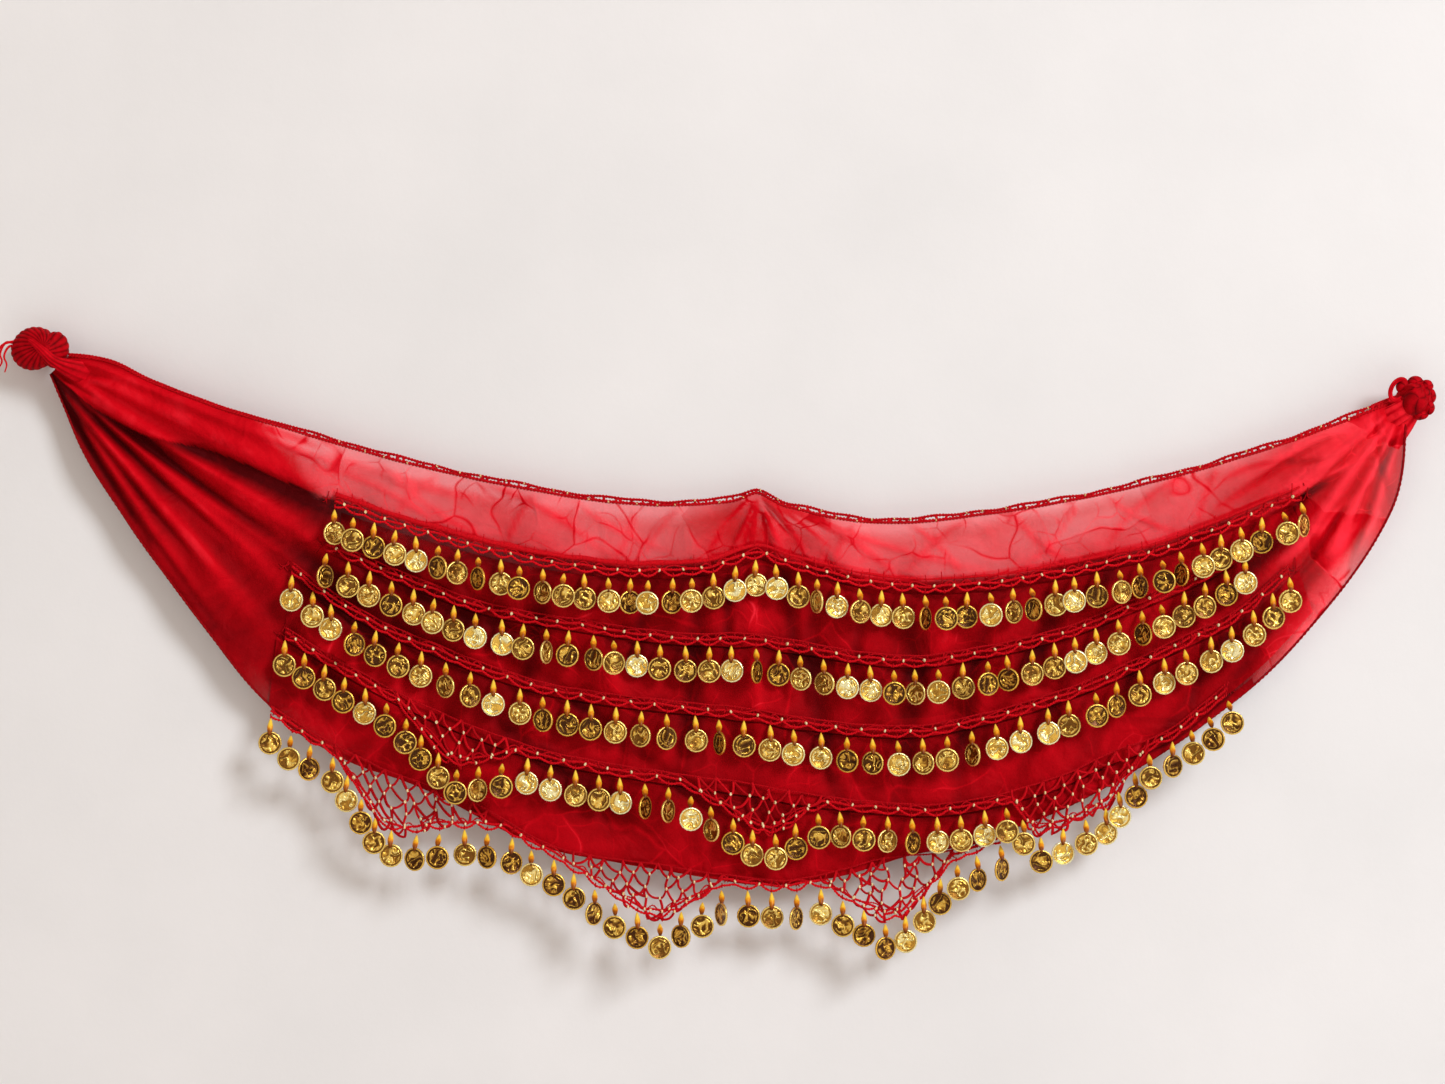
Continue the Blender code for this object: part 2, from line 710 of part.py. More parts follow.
def neck(section, knot_x, knot_z, finish):
    """The twisted cloth between a knot and the end of the crescent, just clear of the cloth."""
    x0, z0, x1, z1 = section
    middle = Vector(((x0 + x1) / 2, KNOT_MIDDLE + NECK_BACK, (z0 + z1) / 2))
    along = Vector((x1 - x0, 0.0, z1 - z0))
    half = along.length / 2
    inward = Vector((-along.z, 0.0, along.x)).normalized()
    if inward.dot(Vector((knot_x, middle.y, knot_z)) - middle) < 0:
        inward.negate()
    path = [middle + inward * reach for reach in (SEAM, SEAM + 4.0, SEAM + 9.0, NECK_LENGTH)]
    radii = [half, half * 0.9, half * 0.75, half * 0.7]
    return add_object("neck", *strand([tuple(p) for p in path], radii, 10, NECK_FLAT), finish)


def make_left_knot(cloth_red, thread):
    name, x, z, width, depth, height, bumps, bump_depth = KNOTS[0]
    points, faces = ball(x, z, width, depth, height, bumps, bump_depth)
    knot = add_object(name, points, faces, cloth_red)
    for n, (bend, length) in enumerate(((3.0, 20.0), (-2.5, 16.0))):
        path = [(x - 12.0 - length * t, KNOT_MIDDLE - 3.0 * n, z + bend * math.sin(5.0 * t) - 16.0 * t * n + 4.0 * t)
                for t in (0.0, 0.25, 0.5, 0.75, 1.0)]
        tail = add_object("tail", *strand(path, [1.1, 1.0, 1.0, 0.9, 0.7], 4), thread)
        combine(knot, tail, "UNION")
    combine(knot, neck(SECTIONS[0], x, z, cloth_red), "UNION")
    combine(knot, pin_hole(0.0, 0.0, cloth_red), "DIFFERENCE")
    return knot


def make_right_knot(cloth_red):
    name, x, z, width, depth, height, bumps, bump_depth = KNOTS[1]
    points, faces = ball(x, z, width, depth, height, bumps, bump_depth)
    knot = add_object(name, points, faces, cloth_red)
    path = [(x - 10.0 - 13.0 * math.sin(turn), KNOT_MIDDLE - 5.0, z + 3.0 + 8.5 * math.cos(turn))
            for turn in [math.pi * n / 8 for n in range(9)]]
    loop = add_object("loop", *strand(path, [2.4] * 9, 6), cloth_red)
    combine(knot, loop, "UNION")
    combine(knot, neck(SECTIONS[-1], x, z, cloth_red), "UNION")
    combine(knot, pin_hole(x, z, cloth_red), "DIFFERENCE")
    return knot


def build():
    for thing in list(bpy.data.objects):
        bpy.data.objects.remove(thing)
    red = material("chiffon", (0.62, 0.02, 0.03), 0.7)
    deep_red = material("chiffon_two_layers", (0.30, 0.0, 0.01), 0.7)
    thread = material("crochet_and_coins", (0.55, 0.36, 0.12), 0.45, 0.6)
    cord_red = material("crochet_cord", (0.40, 0.01, 0.02), 0.8)
    steel = material("pin_steel", (0.6, 0.6, 0.62), 0.35, 1.0)

    cloth, grid = make_cloth(red, deep_red)
    front = Front()
    for piece in cloth:
        front.add(piece)
    for row in ("hem", "4", "3", "2", "1"):
        front.add(make_row(row, ROW_DROPS[row], front, thread))
        for letter, net in zip("abcdef", NET_POINTS):
            if net[0] == row:
                front.add(make_net_thread("net_thread_" + letter, net, front, cord_red))
    make_edging(grid, cord_red)
    make_left_knot(red, cord_red)
    make_right_knot(red)
    make_pin("left_wall_pin", 0.0, 0.0, steel)
    make_pin("right_wall_pin", KNOTS[1][1], KNOTS[1][2], steel)


build()
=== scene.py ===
import math
import random

import bpy
import numpy as np
from mathutils import Matrix, Vector


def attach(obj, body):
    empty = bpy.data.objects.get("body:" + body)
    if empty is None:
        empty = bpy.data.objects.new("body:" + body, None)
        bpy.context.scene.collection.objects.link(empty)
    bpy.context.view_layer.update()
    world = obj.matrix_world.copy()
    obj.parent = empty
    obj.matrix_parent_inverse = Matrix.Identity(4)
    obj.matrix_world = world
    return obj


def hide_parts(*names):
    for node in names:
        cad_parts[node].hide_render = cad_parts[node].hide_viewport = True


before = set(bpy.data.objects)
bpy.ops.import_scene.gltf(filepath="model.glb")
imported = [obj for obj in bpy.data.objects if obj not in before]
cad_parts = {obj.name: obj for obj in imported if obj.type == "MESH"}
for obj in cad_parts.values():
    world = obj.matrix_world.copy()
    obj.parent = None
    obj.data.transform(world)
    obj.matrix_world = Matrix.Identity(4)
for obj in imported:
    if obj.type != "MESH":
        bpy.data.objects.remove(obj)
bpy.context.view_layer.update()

# Coin hip scarf hung on a wall. The tables are in millimetres, as in the part's
# source: x to the right, z up, the wall at Y = 0 and the front towards -Y.
MM = 0.001
CLOTH_DEPTH = -22.0      # the cloth's middle surface, in front of the wall
CLOTH_WALL = 1.4
TIER_GAP = 0.4           # between the ground cloth and a tier
TIER_LIFT = 0.63         # a tier's upper edge stands a little prouder
WAVES = ((97.0, 1.5, 31.0), (58.0, 1.0, -24.0))    # length along, height, slant
COLUMNS_PER_SECTION = 22
FIRST_BAND_LEVELS = 24   # grid steps from the waist down to row 1
BAND_LEVELS = 20         # grid steps in each band below it
WAIST_PEAK = 538.0       # x of the point in the waist line
RIGHT_END = (880, 960)   # x over which the gathered right end begins
TIER_BLEND = 26          # over this length a tier's ends take the ground cloth's colour
OPAQUE_RIDGE_HIGHLIGHT = -1.1      # on opaque cloth the vein lines become painted highlights along the ridges, so they count as negative

COIN_RADIUS = 8.8
COIN_THICK = 1.3
COIN_DROP = 17.2         # from the lower cord to the coin's middle
BEAD_DROP = 5.1          # from the lower cord to the teardrop bead's middle
BEAD_CLEAR = 2.2         # from the bead's middle line to the coin or cord behind it
CORD_HALF = 1.3
SCALLOP_RISE = 2.3       # the low points of the scallops above the lower cord's line
STRAND_RISE = 6.8        # the beaded strand above the same line
LADDER = 10.5            # upper cord to lower cord
STEEP = 0.72             # rise over run past which coins hang nearly flat to the front
STEEP_TURN = 0.2         # the share of its turn that such a coin keeps
TURNS = {"f": 0.0, "t": 30.0, "e": 56.0}    # degrees, by the letters of ROW_DROPS
TURN_PLAY = 9.0

# cords: radius, and length of one twist
CORD_PLIES = 2
CORD_STEP = 1.3
SCALLOP_CORD = (1.3, 4.2)
BEADED_STRAND = (1.4, 4.0)
LOOSE_STRAND = (0.85, 3.6)
UPPER_CORD = (0.95, 4.4)
EDGING_LOW = (1.7, 5.2)
EDGING_HIGH = (1.5, 4.6)
GOLD_BEADS_FROM = 215.0  # length along the waist edging at which its gold beads begin
THREAD_STEP = 1.5
END_THREADS = 5          # threads from each small knot at a row's end

BALL_RINGS = 44
BALL_AROUND = 144

# waist x, waist z, outer edge x, outer edge z
SECTIONS = (
    (22, -5, 8, -18),
    (54, -10, 32, -75),
    (90, -27, 66, -129),
    (142, -46, 109, -188),
    (195, -62, 169, -263),
    (238, -75, 225, -302),
    (300, -91, 289, -326),
    (368, -105, 368, -366),
    (435, -115, 439, -382),
    (495, -116, 499, -392),
    (538, -109, 544, -398),
    (585, -124, 596, -392),
    (640, -130, 656, -375),
    (705, -124, 720, -362),
    (784, -111, 802, -326),
    (855, -94, 896, -263),
    (922, -74, 962, -197),
    (975, -55, 1014, -119),
    (1012, -40, 1024, -55),
)

# x, z along the upper cord of each crochet row
ROW_LINES = {
    "1": ((220, -109), (282, -130), (363, -151), (437, -161), (499, -159), (538, -148), (572, -158),
          (640, -172), (716, -170), (818, -151), (868, -135), (946, -103)),
    "2": ((214, -141), (274, -167), (337, -190), (412, -203), (478, -212), (538, -213), (601, -224),
          (657, -229), (718, -220), (770, -207), (817, -188), (871, -165), (904, -145)),
    "3": ((188, -158), (240, -194), (296, -220), (374, -248), (448, -260), (526, -268), (592, -278),
          (660, -281), (731, -266), (791, -245), (845, -220), (897, -194), (938, -158)),
    "4": ((183, -207), (242, -242), (306, -274), (380, -300), (455, -314), (527, -324), (594, -335),
          (676, -340), (750, -324), (802, -302), (848, -283), (891, -248)),
    "hem": ((172, -265), (196, -281), (254, -312), (320, -336), (387, -372), (460, -385), (540, -396),
            (577, -395), (631, -381), (682, -375), (722, -359)),
}

# one letter for each drop: f faces front, t is turned, e is nearly edge-on
ROW_DROPS = {
    "1": "tffffttefftffftftffffffeftffefffteffftttefffffe",
    "2": "efffffffffefttfffffefttffftffttfffffefffff",
    "3": "ffftfffttfftfffttfeffffttftfeffffftffffffef",
    "4": "fffffettfftffffffeefeffffftfteffffffffffttteef",
    "hem": "fftffftftffttfffeffftfeffeffftfftfte",
}

# row, start x, lowest from x, lowest to x, end x, depth below the row's lower cord
NET_POINTS = (
    ("4", 268, 306, 316, 362, 25),
    ("4", 482, 538, 548, 586, 26),
    ("4", 728, 748, 800, 830, 30),
    ("hem", 222, 258, 274, 350, 34),
    ("hem", 387, 455, 467, 512, 31),
    ("hem", 585, 634, 646, 684, 38),
)

# start x, start z, end x, end z, half width at the end, height
FOLDS = (
    (20, -4, 200, -72, 12, 7.0),
    (16, -10, 215, -104, 9, 5.0),
    (14, -14, 200, -140, 9, 6.0),
    (12, -16, 176, -170, 9, 5.0),
    (10, -18, 140, -176, 8, 5.5),
    (8, -18, 96, -150, 7, 4.5),
    (1012, -44, 900, -96, 9, 5.0),
    (1014, -46, 905, -130, 9, 6.0),
    (1016, -48, 925, -170, 9, 5.5),
    (1018, -50, 965, -160, 8, 6.0),
    (1022, -52, 996, -130, 7, 4.5),
    (538, -108, 478, -158, 8, 3.5),
    (538, -108, 520, -156, 6, 3.0),
    (538, -108, 556, -156, 6, 3.0),
    (538, -108, 610, -164, 8, 3.5),
)

# Finer creases: start x, start z, end x, end z, half width, height to the front, bend aside
CREASES = (
    (9, -12, 46, -26, 2.2, 1.6, 2),
    (10, -10, 52, -22, 1.8, -1.6, 1),
    (14, -8, 60, -18, 2.0, 1.4, -2),
    (11, -14, 44, -36, 1.8, -1.8, 2),
    (9, -16, 38, -46, 2.0, 1.6, -2),
    (8, -17, 32, -56, 1.8, -1.8, 1),
    (12, -18, 190, -124, 3.0, 1.6, 4),
    (12, -20, 170, -136, 3.0, -3.0, 2),
    (11, -20, 186, -156, 2.6, 1.5, 3),
    (10, -21, 150, -150, 3.4, -3.0, 2),
    (10, -22, 160, -190, 3.0, 1.2, 2),
    (9, -22, 120, -160, 3.2, -2.6, 2),
    (9, -24, 128, -200, 2.8, -2.0, 3),
    (9, -26, 80, -140, 2.6, -2.2, 2),
    (30, -2, 230, -80, 3.0, -1.6, 2),
    (60, -18, 240, -92, 3.0, 1.3, 3),
    (200, -68, 330, -112, 4.0, 1.4, 5),
    (215, -88, 300, -132, 3.0, 1.2, -4),
    (250, -80, 330, -140, 3.0, 1.0, 5),
    (300, -94, 268, -124, 2.6, 1.3, 4),
    (330, -100, 420, -150, 3.2, 1.1, -6),
    (372, -108, 350, -146, 2.6, 1.3, 3),
    (400, -112, 470, -150, 2.8, 1.0, 5),
    (446, -118, 430, -158, 3.0, 1.2, -3),
    (480, -118, 452, -156, 2.6, 1.2, 3),
    (536, -110, 500, -154, 2.4, 1.4, 3),
    (538, -110, 534, -146, 2.2, 1.6, 1),
    (540, -110, 574, -154, 2.4, 1.5, -3),
    (542, -111, 640, -166, 3.0, 1.6, -5),
    (570, -122, 700, -164, 3.0, 1.1, 4),
    (612, -130, 596, -160, 2.6, 1.1, 3),
    (650, -130, 690, -168, 2.8, 1.2, -4),
    (700, -126, 650, -168, 2.6, 1.0, 5),
    (730, -122, 770, -158, 3.0, 1.2, 4),
    (776, -114, 742, -160, 2.6, 1.2, -4),
    (800, -110, 850, -136, 2.8, 1.1, 3),
    (852, -96, 800, -148, 3.0, 1.2, 5),
    (884, -86, 868, -130, 2.6, 1.2, 2),
    (1008, -42, 880, -84, 3.0, 1.6, 4),
    (1010, -44, 896, -110, 3.0, -3.0, 3),
    (1012, -46, 930, -118, 2.6, 1.6, -3),
    (1014, -48, 912, -150, 3.0, -3.0, 3),
    (1014, -50, 944, -150, 2.6, 1.5, 3),
    (1016, -50, 940, -176, 3.0, -2.8, -3),
    (1018, -52, 972, -140, 2.6, 1.5, 3),
    (1020, -54, 984, -160, 3.0, -2.8, 2),
    (1010, -42, 950, -70, 2.6, 1.5, -2),
    (1000, -46, 1012, -110, 2.2, -2.0, 2),
    (985, -62, 940, -72, 2.2, 1.6, 2),
    (975, -80, 930, -84, 2.2, -1.8, -2),
    (990, -84, 950, -104, 2.4, 1.8, 2),
    (968, -98, 926, -116, 2.2, -2.0, -2),
    (985, -110, 958, -140, 2.4, 1.8, 2),
    (1000, -96, 985, -130, 2.0, -1.8, 1),
    (950, -60, 905, -78, 2.4, 1.6, 3),
    (925, -84, 890, -96, 2.2, -1.8, 2),
    (1004, -120, 985, -160, 2.2, 1.6, 2),
    (960, -150, 930, -190, 2.4, -2.0, 2),
    (560, -150, 640, -190, 3.0, -2.2, 4),
    (585, -150, 610, -205, 2.6, -1.8, -3),
    (640, -165, 700, -195, 3.0, -2.0, 3),
    (700, -230, 790, -262, 3.0, -2.2, 5),
    (760, -225, 800, -280, 2.4, -1.6, -3),
    (820, -215, 880, -240, 2.8, -2.2, 3),
    (640, -300, 720, -322, 2.6, -1.8, 3),
    (690, -290, 705, -335, 2.4, -1.6, -2),
    (745, -270, 770, -310, 2.4, -1.8, 2),
    (470, -160, 525, -176, 2.8, -1.8, 3),
    (300, -190, 380, -215, 3.0, -1.8, 4),
    (420, -225, 520, -238, 3.0, -1.7, 4),
    (330, -270, 400, -300, 3.0, -1.8, 3),
    (480, -330, 580, -345, 3.0, -1.7, 3),
    (538, -109, 508, -140, 1.6, -1.3, 1),
    (538, -109, 518, -150, 1.5, 1.2, -1),
    (538, -109, 527, -152, 1.4, -1.4, 1),
    (539, -109, 546, -152, 1.4, -1.3, -1),
    (539, -109, 556, -148, 1.6, 1.3, 1),
    (539, -109, 566, -142, 1.5, -1.2, 2),
    (539, -110, 590, -146, 1.8, 1.2, -2),
)

# The lower edge of the opaque roll at the left end: x, z
ROLL_EDGE = ((8, -16), (26, -31), (44, -45), (80, -64), (127, -75), (165, -90), (217, -112), (262, -122))
ROLL_HEIGHT = 4.0

# Soft troughs and ridges below row 1: start x, start z, end x, end z, half width, height, bend aside
TROUGHS = (
    (176, -128, 318, -236, 8, -3.4, 8),
    (186, -168, 300, -262, 6, -2.8, -5),
    (178, -190, 352, -322, 9, 2.2, 9),
    (196, -222, 330, -330, 7, -2.8, 6),
    (238, -140, 402, -232, 7, -2.6, 9),
    (262, -176, 446, -300, 6, -2.4, -8),
    (300, -152, 338, -196, 5, -2.2, 3),
    (330, -262, 452, -352, 9, -2.6, 7),
    (372, -170, 362, -262, 6, -2.8, -6),
    (408, -176, 440, -268, 8, 2.0, 6),
    (430, -290, 520, -366, 6, -2.2, -6),
    (462, -172, 446, -246, 5, -2.8, 4),
    (492, -168, 476, -330, 8, -3.0, -7),
    (520, -160, 516, -236, 4, -2.8, 2),
    (538, -156, 541, -300, 5, 2.4, 3),
    (556, -162, 566, -246, 5, -3.2, -3),
    (580, -172, 604, -352, 8, -2.8, 8),
    (622, -184, 612, -250, 5, -2.4, 4),
    (652, -190, 640, -346, 9, -2.6, -9),
    (690, -188, 672, -262, 6, 2.2, 5),
    (716, -180, 690, -346, 7, -3.0, 7),
    (768, -174, 706, -286, 6, -2.6, -6),
    (812, -164, 742, -238, 8, -2.6, 6),
    (842, -156, 730, -330, 6, -3.0, 10),
    (884, -142, 786, -226, 7, 2.4, -5),
    (918, -128, 792, -290, 6, -3.2, 8),
    (944, -126, 850, -214, 6, -2.6, -4),
    (958, -140, 838, -298, 7, -3.0, 6),
    (972, -150, 884, -268, 6, -2.8, 4),
    (984, -148, 930, -232, 5, 2.0, -3),
)


def smooth_points(points, steps):
    """Points along a Catmull-Rom curve through the given points."""
    found = []
    last = len(points) - 1
    for i in range(last):
        before = points[max(i - 1, 0)]
        start = points[i]
        end = points[i + 1]
        after = points[min(i + 2, last)]
        for step in range(steps):
            t = step / steps
            found.append(tuple(0.5 * (2 * b + (c - a) * t + (2 * a - 5 * b + 4 * c - d) * t ** 2
                                      + (3 * b - a - 3 * c + d) * t ** 3)
                               for a, b, c, d in zip(before, start, end, after)))
    found.append(tuple(float(v) for v in points[last]))
    return found


def height_on(line, x):
    """Height of a line of (x, z) points at x, carried on straight past its ends."""
    if x <= line[0][0]:
        return line[0][1] + (x - line[0][0]) * (line[1][1] - line[0][1]) / (line[1][0] - line[0][0])
    for (x0, z0), (x1, z1) in zip(line, line[1:]):
        if x <= x1:
            return z0 + (z1 - z0) * (x - x0) / (x1 - x0)
    (x0, z0), (x1, z1) = line[-2:]
    return z1 + (x - x1) * (z1 - z0) / (x1 - x0)


def heights_on(line, x):
    """Heights of a line of (x, z) points at many x, level past its ends."""
    return np.interp(x, [p[0] for p in line], [p[1] for p in line])


def points_of(x, y, z):
    """Points from their coordinates, any of which may be one number for all."""
    return np.stack(np.broadcast_arrays(x, y, z), axis=-1)


def step_up(value, low, high):
    """0 below low, 1 above high, smooth between."""
    t = np.clip((value - low) / (high - low), 0.0, 1.0)
    return t * t * (3 - 2 * t)


ROWS = {name: smooth_points(line, 6) for name, line in ROW_LINES.items()}
COLUMNS = smooth_points(SECTIONS, COLUMNS_PER_SECTION)


# Meshes

def clear_selection():
    if bpy.context.object is not None and bpy.context.object.mode != "OBJECT":
        bpy.ops.object.mode_set(mode="OBJECT")
    bpy.ops.object.select_all(action="DESELECT")


def add_piece(name, points, faces, finish, stands_for=(), values=None, uv=None):
    """One named mesh from points in millimetres, which rides on the part."""
    mesh = bpy.data.meshes.new(name)
    mesh.from_pydata((np.asarray(points, float) * MM).tolist(), [], [tuple(f) for f in faces])
    mesh.materials.append(finish)
    mesh.shade_smooth()
    for label, data in (values or {}).items():
        attribute = mesh.attributes.new(label, "FLOAT", "POINT")
        attribute.data.foreach_set("value", np.asarray(data, np.float32))
    if uv is not None:
        corners = np.zeros(len(mesh.loops), int)
        mesh.loops.foreach_get("vertex_index", corners)
        layer = mesh.uv_layers.new(name="UVMap")
        layer.data.foreach_set("uv", np.asarray(uv, np.float32)[corners].ravel())
    thing = bpy.data.objects.new(name, mesh)
    bpy.context.scene.collection.objects.link(thing)
    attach(thing, "root")
    if stands_for:
        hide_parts(*stands_for)
    return thing


class Heap:
    """Points and faces gathered from many small shapes into one mesh."""

    def __init__(self):
        self.points = []
        self.faces = []
        self.values = []
        self.uv = []
        self.count = 0

    def put(self, points, faces, value=0.0, uv=None):
        points = np.asarray(points, float)
        self.points.append(points)
        self.faces += [tuple(self.count + i for i in face) for face in faces]
        self.values.append(np.full(len(points), value))
        self.uv.append(np.zeros((len(points), 2)) if uv is None else uv)
        self.count += len(points)

    def piece(self, name, finish, slot, stands_for):
        return add_piece(name, np.concatenate(self.points), self.faces, finish, stands_for,
                         {"tone": np.concatenate(self.values)}, np.concatenate(self.uv))


def frames_along(path):
    """Unit vectors aside and out at each point of a path."""
    along = np.gradient(path, axis=0)
    along /= np.maximum(np.linalg.norm(along, axis=1, keepdims=True), 1e-9)
    aside = np.cross(along, np.array([0.0, 1.0, 0.0]))
    aside /= np.maximum(np.linalg.norm(aside, axis=1, keepdims=True), 1e-9)
    return aside, np.cross(aside, along)


def ring_faces(rings, around, closed=False):
    """Quads between rings of points, and either lids at both ends or a join of the last to the first."""
    faces = []
    for n in range(rings if closed else rings - 1):
        a, b = n * around, (n + 1) % rings * around
        faces += [(a + i, b + i, b + (i + 1) % around, a + (i + 1) % around) for i in range(around)]
    if not closed:
        faces += [tuple(range(around)), tuple(reversed(range((rings - 1) * around, rings * around)))]
    return faces


def tube(path, radii, sides=6, flat=1.0):
    """A round tube along a path; flat squeezes it in depth."""
    path = np.asarray(path, float)
    radii = np.broadcast_to(np.asarray(radii, float), (len(path),))
    aside, out = frames_along(path)
    turn = math.tau * (np.arange(sides) + 0.5) / sides
    across, deep = np.cos(turn)[None, :, None], flat * np.sin(turn)[None, :, None]
    ring = aside[:, None] * across + out[:, None] * deep
    points = (path[:, None] + ring * radii[:, None, None]).reshape(-1, 3)
    return points, ring_faces(len(path), sides)


def even_path(points, step):
    """Points a set step apart along a path, and the length along it to each."""
    points = np.asarray(points, float)
    lengths = np.concatenate([[0.0], np.cumsum(np.linalg.norm(np.diff(points, axis=0), axis=1))])
    wanted = np.linspace(0.0, lengths[-1], max(2, round(lengths[-1] / step) + 1))
    return np.stack([np.interp(wanted, lengths, points[:, i]) for i in range(3)], axis=1), wanted


def curve_through(points, steps=4):
    """An even path along a smooth curve through a few points."""
    return even_path(smooth_points(points, steps), 1.2)[0]


def twisted(heap, points, radius, pitch, tone):
    """A cord of twisted plies along a path."""
    path, lengths = even_path(points, CORD_STEP)
    aside, out = frames_along(path)
    ply = radius / 1.9
    for n in range(CORD_PLIES):
        turn = (math.tau * (lengths / pitch + n / CORD_PLIES))[:, None]
        strand = path + (aside * np.cos(turn) + out * np.sin(turn)) * (radius - ply)
        heap.put(*tube(strand, ply, 4), tone)


# Materials

class Finish:
    """A material on one Principled shader, with short ways to add nodes."""

    def __init__(self, name, **sockets):
        self.material = bpy.data.materials.new(name)
        self.material.use_nodes = True
        self.tree = self.material.node_tree
        self.shader = self.tree.nodes["Principled BSDF"]
        for label, value in sockets.items():
            self.shader.inputs[label.replace("_", " ")].default_value = value

    def node(self, kind, inputs=None, **settings):
        made = self.tree.nodes.new("ShaderNode" + kind)
        for label, value in settings.items():
            setattr(made, label, value)
        for label, value in (inputs or {}).items():
            self.give(made.inputs[label], value)
        return made

    def give(self, socket, value):
        if isinstance(value, bpy.types.NodeSocket):
            self.tree.links.new(value, socket)
        else:
            socket.default_value = value

    def set(self, label, value):
        self.give(self.shader.inputs[label], value)

    def place(self):
        return self.node("TexCoord").outputs["Object"]

    def attribute(self, label):
        return self.node("Attribute", attribute_name=label).outputs["Fac"]

    def noise(self, scale, detail=2.0, rough=0.5, vector=None, distortion=0.0):
        return self.node("TexNoise", {"Vector": vector or self.place(), "Scale": scale, "Detail": detail,
                                      "Roughness": rough, "Distortion": distortion}).outputs["Fac"]

    def maths(self, operation, a, b=0.0, clamp=False):
        return self.node("Math", {0: a, 1: b}, operation=operation, use_clamp=clamp).outputs[0]

    def add(self, a, b, clamp=False):
        return self.maths("ADD", a, b, clamp)

    def times(self, a, b):
        return self.maths("MULTIPLY", a, b)

    def spread(self, value, low, high, to_low=0.0, to_high=1.0):
        return self.node("MapRange", {"Value": value, "From Min": low, "From Max": high,
                                      "To Min": to_low, "To Max": to_high}).outputs["Result"]

    def play(self, noise, low=0.0, high=1.0):
        """A noise, which keeps near its middle, stretched to run from low to high."""
        return self.spread(noise, 0.3, 0.7, low, high)

    def ramp(self, factor, *stops):
        made = self.node("ValToRGB", {"Fac": factor})
        band = made.color_ramp
        while len(band.elements) < len(stops):
            band.elements.new(0.5)
        for element, (place, colour) in zip(band.elements, stops):
            element.position = place
            element.color = (*colour, 1.0)
        return made.outputs["Color"]

    def mix(self, factor, a, b):
        return self.node("Mix", {0: factor, 6: (*a, 1.0), 7: (*b, 1.0)}, data_type="RGBA").outputs[2]

    def bump(self, height, strength, distance):
        self.set("Normal", self.node("Bump", {"Height": height, "Strength": strength,
                                              "Distance": distance}).outputs["Normal"])
        return self.material


def chiffon():
    """Sheer red chiffon: thinner where it lies single, deeper where layers gather, with the painted shade
    and light of its folds in its deep attribute.
    """
    made = Finish("red chiffon", Roughness=0.65, Specular_IOR_Level=0.04)
    place, veins_and_ridge_light = made.place(), made.attribute("veins_and_ridge_light")
    wander = made.node("TexNoise", {"Vector": place, "Scale": 14.0, "Detail": 2.0}).outputs["Color"]
    wander = made.node("VectorMath", {0: wander, "Scale": 0.06}, operation="SCALE").outputs[0]
    bent = made.node("VectorMath", {0: place, 1: wander}, operation="ADD").outputs[0]
    lines_and_ridge_light = 0.0
    for scale, width, strength in ((15.0, 0.022, 1.0), (33.0, 0.03, 0.7)):
        edge = made.node("TexVoronoi", {"Vector": bent, "Scale": scale}, feature="DISTANCE_TO_EDGE")
        line = made.spread(edge.outputs["Distance"], 0.0, width, strength, 0.0)
        broken = made.spread(made.noise(scale * 1.3, 1.0, 0.5, place), 0.42, 0.56)
        lines_and_ridge_light = made.maths("MAXIMUM", lines_and_ridge_light, made.times(line, broken))
    # negative values, on opaque cloth, are painted highlights along ridges; positive ones are dark vein
    # lines
    lines_and_ridge_light = made.times(lines_and_ridge_light, veins_and_ridge_light)
    patch = made.node("TexVoronoi", {"Vector": bent, "Scale": 15.0}).outputs["Color"]
    patches = made.times(made.spread(patch, 0.2, 0.8, -0.08, 0.08), veins_and_ridge_light)
    gathered = made.times(made.maths("MAXIMUM", lines_and_ridge_light, 0.0), 0.36)
    made.set("Alpha", made.add(made.add(made.attribute("cover"), patches), gathered, clamp=True))
    deep = made.add(made.attribute("deep"), made.times(lines_and_ridge_light, 0.2), clamp=True)
    cloudy = made.play(made.noise(30.0, 3.0, 0.6, bent), -0.11, 0.11)
    for change in (patches, cloudy):
        deep = made.add(deep, change, clamp=True)
    made.set("Base Color", made.ramp(deep, (0.0, (1.0, 0.025, 0.045)), (0.3, (0.60, 0.001, 0.007)),
                                     (0.6, (0.34, 0.0, 0.003)), (1.0, (0.07, 0.0, 0.001))))
    crumple = made.times(made.noise(38.0, 2.0, 0.5, bent, 0.6), 4.0)
    return made.bump(made.add(made.noise(190.0, 4.0, 0.65, place), crumple), 0.5, 0.0022)


def knot_cloth():
    """The same chiffon, wound tight and opaque, with fine creases along its pleats; its tone carries painted
    shade in the pleats' grooves.
    """
    made = Finish("wound red chiffon", Roughness=0.65, Specular_IOR_Level=0.04)
    streaks = made.noise(160.0, 3.0, 0.6)
    deep = made.add(made.attribute("tone"), made.play(streaks, -0.12, 0.12), clamp=True)
    made.set("Base Color", made.ramp(deep, (0.0, (0.95, 0.014, 0.028)), (0.3, (0.60, 0.001, 0.008)),
                                     (0.6, (0.34, 0.0, 0.003)), (1.0, (0.07, 0.0, 0.001))))
    return made.bump(streaks, 0.4, 0.001)


def crochet():
    """Dark red crochet cotton with a fuzzy twist."""
    made = Finish("red crochet cord", Roughness=0.8, Specular_IOR_Level=0.1)
    fibres = made.noise(900.0, 3.0, 0.7)
    deep = made.add(made.attribute("tone"), made.play(fibres, -0.2, 0.2), clamp=True)
    made.set("Base Color", made.ramp(deep, (0.0, (0.80, 0.004, 0.012)), (0.5, (0.42, 0.0, 0.004)),
                                     (1.0, (0.12, 0.0, 0.001))))
    return made.bump(fibres, 0.5, 0.0006)


